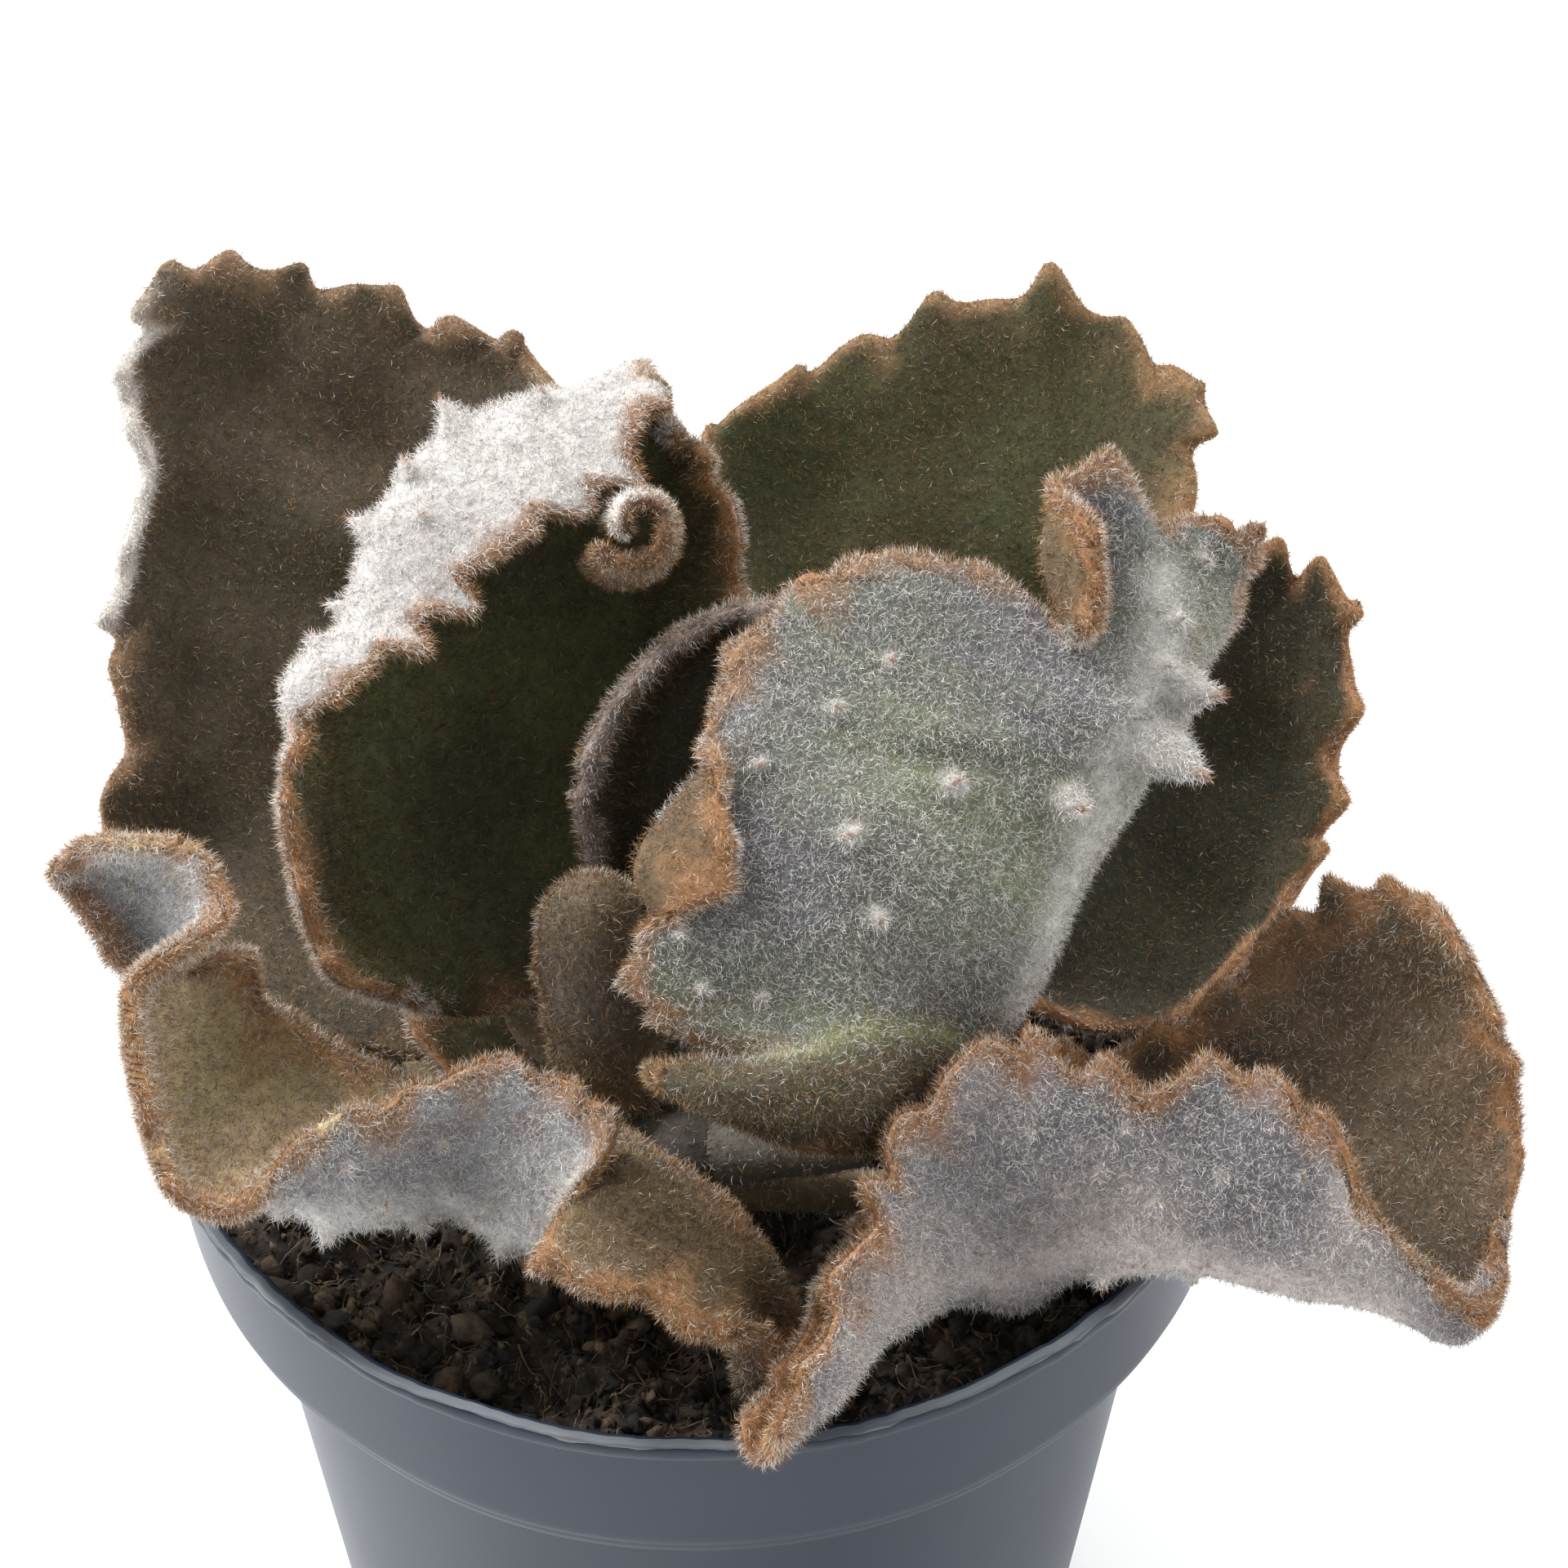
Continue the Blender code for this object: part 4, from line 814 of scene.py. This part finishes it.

# Each leaf: its net, the side of the net that its upper face is on, and its look. A look adds the
# steps along and across, the two tones of each face, the tone near the stalk if it differs, partly
# painted shade (base), the sections between which the white under felt shows (pale),
# the hairs on a square mm of each face, what add_teeth takes, and the stalk's height on the stem,
# the place in the net it runs to and its radius.
LEAVES = {
    "leaf_front_left": (FRONT_LEFT, 1, {
        "shape": (280, 100), "seed": 3, "swell": 0.25, "rim": 1.6,
        "streaks": [
            (True, (1.0, 1.6, 4.6, 1.9, 4.5), (0.11, 0.075, 0.035), TAN_HAIR),
            (True, (1.0, 1.6, 4.6, 1.9, 3.0), (0.07, 0.045, 0.022), DARK_HAIR),
            # Painted backlight: the under felt along the keel made whiter where light shines through
            # its fringe of hair.
            (False, (4.6, 2.0, 11.2, 2.0, 2.4), (0.80, 0.78, 0.76), WHITE_HAIR)],
        "upper": ((0.46, 0.34, 0.20), (0.34, 0.28, 0.14)),
        "under": ((0.17, 0.17, 0.19), (0.30, 0.30, 0.31)), "base": DARK_RUST, "base_long": 34,
        "hair_upper": PALE_UPPER, "hair_under": WHITE_UNDER,
        "density": (47, 54), "teeth": (5.2, 0.9, 0.25),
        "stalk": (78.0, (7, 1), 1.2), "stalk_colour": UMBER, "tubercles": LEFT_TUBERCLES}),
    "leaf_front_right": (FRONT_RIGHT, -1, {
        "shape": (280, 116), "seed": 5, "swell": 0.4, "rim": 1.5,
        "streaks": [(False, (3.4, 2.1, 9.5, 2.1, 2.6), (0.58, 0.50, 0.49), WHITE_HAIR)],
        "upper": ((0.078, 0.055, 0.035), (0.112, 0.078, 0.048)),
        "under": ((0.150, 0.145, 0.160), (0.36, 0.31, 0.30)),
        "hair_upper": WARM_UPPER, "density": (36, 50), "teeth": (5.8, 1.6),
        "stalk": (76.2, (4, 1), 1.5), "stalk_colour": UMBER, "tubercles": RIGHT_TUBERCLES}),
    "leaf_front_centre": (FRONT_CENTRE, 1, {
        "shape": (280, 116), "seed": 8, "swell": 0.3, "rim": 1.6,
        "upper": (UMBER, DARK_RUST), "base": GREEN_BROWN, "base_long": 17,
        "streaks": [
            # Painted shade: these two darken the flap by the stalk end, partly its own green-brown
            # tone, partly the shade under the lobe.
            (False, (1.2, 0.2, 1.2, 3.0, 2.2), GREEN_BROWN, TAN_HAIR),
            (False, (0.4, 0.2, 0.4, 3.0, 3.0), DARK_OLIVE, DARK_HAIR),
            # Painted highlight: a yellow-green glow along the crease above the flap.
            (False, (1.9, 0.5, 1.9, 2.6, 1.0), GLOW_HIGHLIGHT_GREEN, SILVER_HAIR),
            # Painted sheen: the white under felt along the midrib made whiter where grazing hairs
            # catch the light.
            (False, (3.0, 3.1, 12.0, 2.5, 1.8), (0.55, 0.53, 0.50), WHITE_HAIR)],
        "hair_upper": RUST_UPPER, "density": (31, 54), "teeth": (4.8, 1.0),
        "stalk": (80.0, (0, 3), 2.0), "stalk_colour": (0.10, 0.09, 0.07),
        "tubercles": CENTRE_TUBERCLES}),
    "leaf_mid_left": (MID_LEFT, -1, {
        "shape": (240, 110), "seed": 12, "swell": 0.25, "rim": 0.9,
        "upper": ((0.050, 0.052, 0.020), (0.090, 0.095, 0.034)),
        "under": ((0.48, 0.46, 0.44), (0.40, 0.38, 0.37)),
        "hair_under": WHITE_UNDER, "density": (34, 46), "teeth": (5.2, 1.7),
        "stalk": (78.4, (0, 2), 1.2), "stalk_colour": UMBER, "tubercles": MID_TUBERCLES}),
    "leaf_mid_left_curl": (rolled_tip(CURL_MIDDLE, CURL_WAY, 6.0, (3.2, 0.9)), 1, {
        "shape": (70, 150), "seed": 33, "swell": 0.15, "rim": 0.9, "long": 0.8,
        "streaks": [(False, (1.6, 6.2, 3.4, 8.6, 1.5), (0.70, 0.66, 0.62), WHITE_HAIR)],
        "upper": (DARK_RUST, (0.05, 0.03, 0.018)), "under": ((0.20, 0.14, 0.10), (0.15, 0.10, 0.07)),
        "margin": (0.12, 0.06, 0.03), "hair_upper": RUST_UPPER, "hair_under": PINK_UNDER,
        "density": (30, 46), "teeth": (4.0, 0.5)}),
    "leaf_back_left": (BACK_LEFT, -1, {
        "shape": (220, 140), "seed": 15, "swell": 0.6, "rim": 0.9, "long": 0.8,
        "pale": (4.6, 8.0),
        "upper": ((0.048, 0.038, 0.020), (0.066, 0.048, 0.028)),
        "margin": (0.22, 0.13, 0.07), "hair_upper": GREY_UPPER,
        "density": (29, 17), "teeth": (6.4, 1.8),
        "stalk": (73.9, (0, 1), 1.3), "stalk_colour": UMBER, "tubercles": BACK_TUBERCLES}),
    "leaf_back_right": (BACK_RIGHT, -1, {
        "shape": (210, 130), "seed": 17, "swell": 0.6, "rim": 1.1, "long": 0.8,
        "upper": ((0.038, 0.043, 0.010), (0.054, 0.043, 0.016)),
        "margin": (0.26, 0.15, 0.07), "density": (30, 17), "teeth": (7.6, 2.1),
        "stalk": (75.5, (0, 1), 1.4), "stalk_colour": UMBER, "tubercles": BACK_TUBERCLES}),
    "leaf_right": (RIGHT, -1, {
        "shape": (190, 110), "seed": 19, "rim": 0.8, "long": 0.8,
        "upper": ((0.014, 0.013, 0.005), (0.026, 0.025, 0.008)),
        "density": (32, 17), "teeth": (6.6, 2.4),
        "stalk": (74.2, (0, 1), 1.2), "stalk_colour": UMBER, "tubercles": BACK_TUBERCLES[:4]}),
    "leaf_centre": (CENTRE, -1, {
        "shape": (130, 76), "seed": 23, "swell": 0.2, "rim": 0.8,
        "upper": (DARK_OLIVE, DARK_OLIVE), "margin": (0.30, 0.23, 0.20), "hair_upper": PINK_RIM,
        "density": (30, 30), "teeth": (5.0, 1.0), "stalk": (80.6, (0, 1), 1.0)}),
    "leaf_young": (YOUNG, -1, {
        "shape": (100, 64), "seed": 27, "swell": 0.15, "rim": 0.7,
        "upper": (UMBER, (0.13, 0.11, 0.09)), "under": (LILAC_GREY, LILAC_GREY),
        "margin": (0.20, 0.13, 0.08), "hair_upper": GREY_UPPER,
        "density": (45, 40), "teeth": (3.6, 0.4), "stalk": (80.9, (0, 1), 1.0)}),
    "leaf_low": (LOW, -1, {
        "shape": (100, 56), "seed": 29, "swell": 0.15, "rim": 0.8,
        "upper": (OLIVE, (0.09, 0.095, 0.03)),
        "density": (30, 24), "teeth": (4.5, 0.5), "stalk": (76.2, (0, 1), 0.8)}),
}


def make_stem():
    """The short woolly stem, domed at its top."""
    low = STEM_LOW[2] / MM
    high = STEM_HIGH[2] / MM
    rings, sides = 60, 40
    heights = np.linspace(low, high, rings)
    path = np.stack([np.full(rings, STEM[0]), np.full(rings, STEM[1]), heights], -1)
    radii = STEM_R * (1 + 0.06 * waves(path, 4, 40))
    radii = radii * np.sqrt(np.clip((high - heights) / 2.4, 0.00001, 1))
    points, spokes = tube(path, radii, sides)
    mesh = ring_mesh("stem", points)
    paint(mesh, np.broadcast_to((0.05, 0.042, 0.034), (rings * sides, 3)))
    piece = add_piece("stem_skin", mesh, FELT)
    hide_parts("stem")
    furnish_tube("stem_hair", points, spokes, STALK_HAIR, STEM_HAIRS)


# ---------------------------------------------------------------- soil

# The pot's profile from the middle of its floor inside, over the rim and down to the floor
# outside: how far in from the rim's radius and how far down from the rim, both in mm
POT_PROFILE = (
    (35, 75.9), (16, 75.9), (13.9, 75.3), (13.2, 73.9), (10.1, 47.5), (6.5, 17.0), (5.8, 16.1),
    (2.4, 15.5), (1.9, 14.5), (1.45, 4.0), (1.4, 1.0), (1.25, 0.3), (0.85, 0.0), (0.3, 0.05),
    (0.05, 0.4), (0.0, 1.0), (0.15, 1.6), (0.5, 1.95), (0.75, 2.1), (0.8, 2.6), (1.55, 13.2),
    (1.75, 13.9), (2.2, 14.15), (5.0, 14.4), (5.5, 14.8), (5.65, 15.5), (9.2, 47.5),
    (12.5, 76.3), (12.8, 77.1), (13.4, 77.5), (16.4, 77.5), (17.1, 77.0), (17.4, 76.6),
    (35, 76.6))


def soil_height(x, y):
    """The height of the peat, in mm, with shallow hollows and a fine crumble."""
    spots = np.stack([x, y, np.zeros_like(x)], -1)
    rise = 1.2 * np.clip(1 - (np.hypot(x, y) / SOIL_R) ** 2, 0, 1)
    rough = 0.9 * waves(spots, 14, 50) + 0.7 * waves(spots, 5, 51) + 0.35 * waves(spots, 1.6, 52)
    return SOIL_TOP + rise + rough - 0.4


def soil_tone(points, seed):
    """Dark peat with browner patches."""
    share = 0.5 + 0.5 * waves(points, 2.2, seed)
    return blend_rows((0.012, 0.009, 0.007), (0.050, 0.036, 0.024), np.clip(share, 0, 1))


def make_soil():
    """The bed of peat: its top, and its side down along the pot's wall."""
    rings, wall_rings, spokes = 150, 30, 420
    radius = SOIL_R * np.sqrt(np.linspace(0.0001, 1, rings))
    angle = np.linspace(0, 2 * math.pi, spokes, endpoint=False)
    x = radius[:, None] * np.cos(angle)
    y = radius[:, None] * np.sin(angle)
    top = np.stack([x, y, soil_height(x, y)], -1)
    heights = np.linspace(SOIL_TOP - 1.5, SOIL_LOW[2] / MM, wall_rings)
    inner = np.array(POT_PROFILE[2:12])[::-1]
    wall = RIM_R - np.interp(POT_H - heights, inner[:, 1], inner[:, 0])
    shrink = np.minimum(wall - 0.4, SOIL_R) / SOIL_R
    side = top[-1][None] * np.stack([shrink, shrink, np.ones(wall_rings)], -1)[:, None]
    side[..., 2] = heights[:, None]
    points = np.concatenate([top, side])
    mesh = ring_mesh("soil", points)
    paint(mesh, soil_tone(points.reshape(-1, 3), 53))
    piece = add_piece("peat_bed", mesh, PEAT)
    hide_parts("soil")


def scatter(rng, count, reach):
    """Places spread evenly over the peat: the angle round the pot, x and y. reach is the share of
    the peat's radius that they keep to."""
    radius = SOIL_R * reach * np.sqrt(rng.random(count))
    angle = rng.uniform(0, 2 * math.pi, count)
    return angle, radius * np.cos(angle), radius * np.sin(angle)


def ball(level):
    """A unit ball's vertices and triangles."""
    mesh = bmesh.new()
    bmesh.ops.create_icosphere(mesh, subdivisions=level, radius=1)
    verts = np.array([vert.co[:] for vert in mesh.verts])
    faces = np.array([[vert.index for vert in face.verts] for face in mesh.faces])
    mesh.free()
    return verts, faces


def make_crumbs(name, count, sizes, level, seed):
    """Loose crumbs of peat: small lumps, each squashed and dented its own way."""
    rng = np.random.default_rng(seed)
    verts, faces = ball(level)
    _, x, y = scatter(rng, count, 0.985)
    size = sizes[0] + (sizes[1] - sizes[0]) * rng.random(count) ** 3
    stretch = rng.uniform(0.55, 1.25, (count, 1, 3))
    stretch[..., 0] *= rng.uniform(1.0, 1.7, (count, 1))
    frames = np.linalg.qr(rng.normal(size=(count, 3, 3)))[0]
    dents = rng.normal(size=(count, 3, 3))
    crumple = 1 + 0.30 * np.sin(np.einsum("vk,nkc->nvc", verts, dents) * 3.4).sum(-1)
    lumps = verts[None] * crumple[..., None] * stretch
    lumps = np.einsum("nvk,nkc->nvc", lumps, frames) * size[:, None, None]
    lumps += np.stack([x, y, soil_height(x, y) + size * 0.25], -1)[:, None]
    offsets = np.arange(count)[:, None, None] * len(verts)
    mesh = mesh_from(name, lumps.reshape(-1, 3), [(faces[None] + offsets).reshape(-1, 3)], False)
    share = rng.random((count, 1)) ** 2 * np.ones((1, len(verts)))
    tones = blend_rows((0.010, 0.008, 0.006), (0.12, 0.080, 0.048), share)
    paint(mesh, tones.reshape(-1, 3))
    add_piece(name, mesh, PEAT)


def make_fibres(name, count, seed):
    """Thin brown fibres lying about in the peat."""
    rng = np.random.default_rng(seed)
    angle, x, y = scatter(rng, count, 0.96)
    heading = rng.uniform(0, 2 * math.pi, count)
    turn = rng.normal(0, 0.35, count)
    length = 0.7 + 3.6 * rng.random(count) ** 2
    steps = 6
    rows = []
    for step in range(steps + 1):
        height = soil_height(x, y) + 0.55 + 0.3 * np.sin(step + angle * 5)
        wide = 0.055 * (1.15 - step / steps)
        side = np.stack([-np.sin(heading), np.cos(heading), 0.5 * np.ones(count)], -1) * wide
        centre = np.stack([x, y, height], -1)
        rows += [centre - side, centre + side]
        x = x + np.cos(heading) * length / steps
        y = y + np.sin(heading) * length / steps
        inside = np.minimum(1, SOIL_R * 0.97 / np.maximum(np.hypot(x, y), 1e-6))
        x, y = x * inside, y * inside
        heading = heading + turn
    verts = np.stack(rows, axis=1)
    start = np.arange(count)[:, None] * 2 * (steps + 1)
    faces = [start + np.array([0, 1, 3, 2]) + 2 * step for step in range(steps)]
    mesh = mesh_from(name, verts.reshape(-1, 3), faces)
    share = rng.random((count, 1)) * np.ones((1, 2 * (steps + 1)))
    paint(mesh, blend_rows((0.03, 0.02, 0.012), (0.20, 0.14, 0.085), share).reshape(-1, 3))
    add_piece(name, mesh, PEAT)


# ---------------------------------------------------------------- pot

def fillet(profile, rounds=2):
    """Rounds a profile's corners by cutting them, over and over."""
    line = np.array(profile, dtype=float)
    for _ in range(rounds):
        ahead, back = line[1:], line[:-1]
        gap = np.linalg.norm(ahead - back, axis=1, keepdims=True)
        cut = np.minimum(gap * 0.25, 0.35) / gap
        pairs = np.stack([back + (ahead - back) * cut, ahead - (ahead - back) * cut], axis=1)
        line = np.concatenate([line[:1], pairs.reshape(-1, 2), line[-1:]])
    return line


def make_pot():
    """The moulded pot, with a fine wavy flash along the outer edge of its rim, in a lighter plastic
    that is a painted highlight on that edge.
    """
    line = fillet([(RIM_R - inward, POT_H - down) for inward, down in POT_PROFILE])
    spokes = 384
    angle = np.linspace(0, 2 * math.pi, spokes, endpoint=False)
    radius = np.repeat(line[:, :1], spokes, axis=1)
    height = np.repeat(line[:, 1:], spokes, axis=1)
    circle = np.stack([np.cos(angle), np.sin(angle), np.zeros(spokes)], -1) * RIM_R
    rim = smooth_step(line[:, 1], POT_H - 2.5, POT_H - 0.6)[:, None]
    flash = waves(circle, 9, 60) * 0.10 + waves(circle, 2.2, 61) * 0.06
    radius = radius + rim * flash
    height = height + rim * np.minimum(0, flash) * 0.6
    body = smooth_step(line[:, 1], 2, 20)[:, None] * (1 - rim)
    radius = radius + body * waves(circle, 30, 62) * 0.12
    points = np.stack([radius * np.cos(angle), radius * np.sin(angle), height], -1)
    piece = add_piece("pot_shell", ring_mesh("pot", points), PLASTIC)
    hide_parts("pot")
    # The flash ridge; its lighter plastic is a painted highlight along the rim's outer edge.
    lip = RIM_R - np.array([0.75, 0.55, 0.2, 0.0, -0.04, 0.1])[:, None] + flash
    raised = waves(circle, 3.5, 63) * 0.07 + waves(circle, 12, 64) * 0.06 + 0.08
    lift = np.array([-0.2, 0.5, 1.0, 0.6, -1.0, -3.5])[:, None] * np.maximum(raised, 0.01)
    seam = np.stack([lip * np.cos(angle), lip * np.sin(angle), POT_H + lift], -1)
    add_piece("pot_rim_flash_highlight", ring_mesh("seam", seam, True), FLASH_HIGHLIGHT)


def plastic_material(name, dark, light):
    """Blue-grey moulded plastic, slightly cloudy, with a faint bump."""
    mat, nodes, links, shader = new_material(name)
    cloud = noise_node(nodes, links, 60, 3.0)
    tones = ramp_node(nodes, [(0.35, dark), (0.65, light)])
    links.new(cloud.outputs["Fac"], tones.inputs["Fac"])
    links.new(tones.outputs["Color"], shader.inputs["Base Color"])
    add_bump(nodes, links, shader, noise_node(nodes, links, 900, 2.0), 0.08, 0.1 * MM)
    shader.inputs["Roughness"].default_value = 0.42
    shader.inputs["Specular IOR Level"].default_value = 0.25
    return mat


# ---------------------------------------------------------------- stage

# Each light's name, place, height above the middle of the floor that it points at, width and
# length, all in metres, and its watts
LIGHTS = (
    ("key", (-0.42, 0.28, 0.75), 0.08, (0.22, 0.22), 8),
    ("top_back", (0.10, 0.65, 0.85), 0.05, (0.9, 0.7), 8),
    ("left", (-0.80, 0.00, 0.28), 0.06, (0.6, 0.7), 8),
    ("right", (0.80, 0.10, 0.32), 0.05, (0.6, 0.7), 5))


def add_light(name, place, aim_high, size, watts):
    data = bpy.data.lights.new(name, "AREA")
    data.shape = "RECTANGLE"
    data.size, data.size_y = size
    data.energy = watts
    light = bpy.data.objects.new(name, data)
    bpy.context.scene.collection.objects.link(light)
    light.location = place
    way = Vector((0, 0, aim_high)) - Vector(place)
    light.rotation_euler = way.to_track_quat("-Z", "Y").to_euler()


def make_stage():
    """The white paper the pot stands on, and the light."""
    bpy.ops.mesh.primitive_plane_add(size=8, location=(0, 0, -0.0002))
    floor = bpy.context.object
    floor.name = "floor"
    mat, _, _, shader = new_material("floor_paper")
    shader.inputs["Base Color"].default_value = (0.92, 0.92, 0.92, 1)
    shader.inputs["Roughness"].default_value = 0.9
    shader.inputs["Specular IOR Level"].default_value = 0.1
    floor.data.materials.append(mat)
    world = bpy.data.worlds.new("studio")
    world.use_nodes = True
    world.node_tree.nodes["Background"].inputs["Color"].default_value = (1, 1, 1, 1)
    world.node_tree.nodes["Background"].inputs["Strength"].default_value = 0.55
    bpy.context.scene.world = world
    bpy.context.scene.view_settings.view_transform = "Standard"
    for light in LIGHTS:
        add_light(*light)


def make_camera():
    data = bpy.data.cameras.new("camera")
    data.lens = 120
    data.sensor_width = 36
    camera = bpy.data.objects.new("camera", data)
    bpy.context.scene.collection.objects.link(camera)
    camera.location = (0.006, -0.2514, 0.3677)
    camera.rotation_euler = (math.radians(43.2), 0, 0)
    bpy.context.scene.camera = camera


FELT = painted_material("leaf_felt", roughness=0.85, grain_scale=900, low=0.72, high=1.25,
                        bump_scale=1500, bump=0.5, sheen=0.08)
PEAT = painted_material("peat", roughness=0.95, grain_scale=1400, low=0.5, high=1.4,
                        bump_scale=2500, bump=0.6)
HAIR = hair_material()
PLASTIC = plastic_material("pot_plastic", dark=(0.012, 0.020, 0.036), light=(0.016, 0.026, 0.044))
# Lighter than the pot: a painted highlight along the rim's outer edge.
FLASH_HIGHLIGHT = plastic_material("rim_flash_highlight", dark=(0.08, 0.09, 0.105), light=(0.14, 0.15, 0.165))

for leaf, (net, upper, look) in LEAVES.items():
    make_leaf(leaf, net, upper, {**PLAIN_LOOK, **look})
make_stem()
make_soil()
make_crumbs("peat_crumbs", count=2400, sizes=(0.25, 1.05), level=2, seed=70)
make_crumbs("peat_dust", count=9500, sizes=(0.10, 0.34), level=1, seed=71)
make_fibres("peat_fibres", count=5000, seed=72)
make_pot()
make_stage()
make_camera()
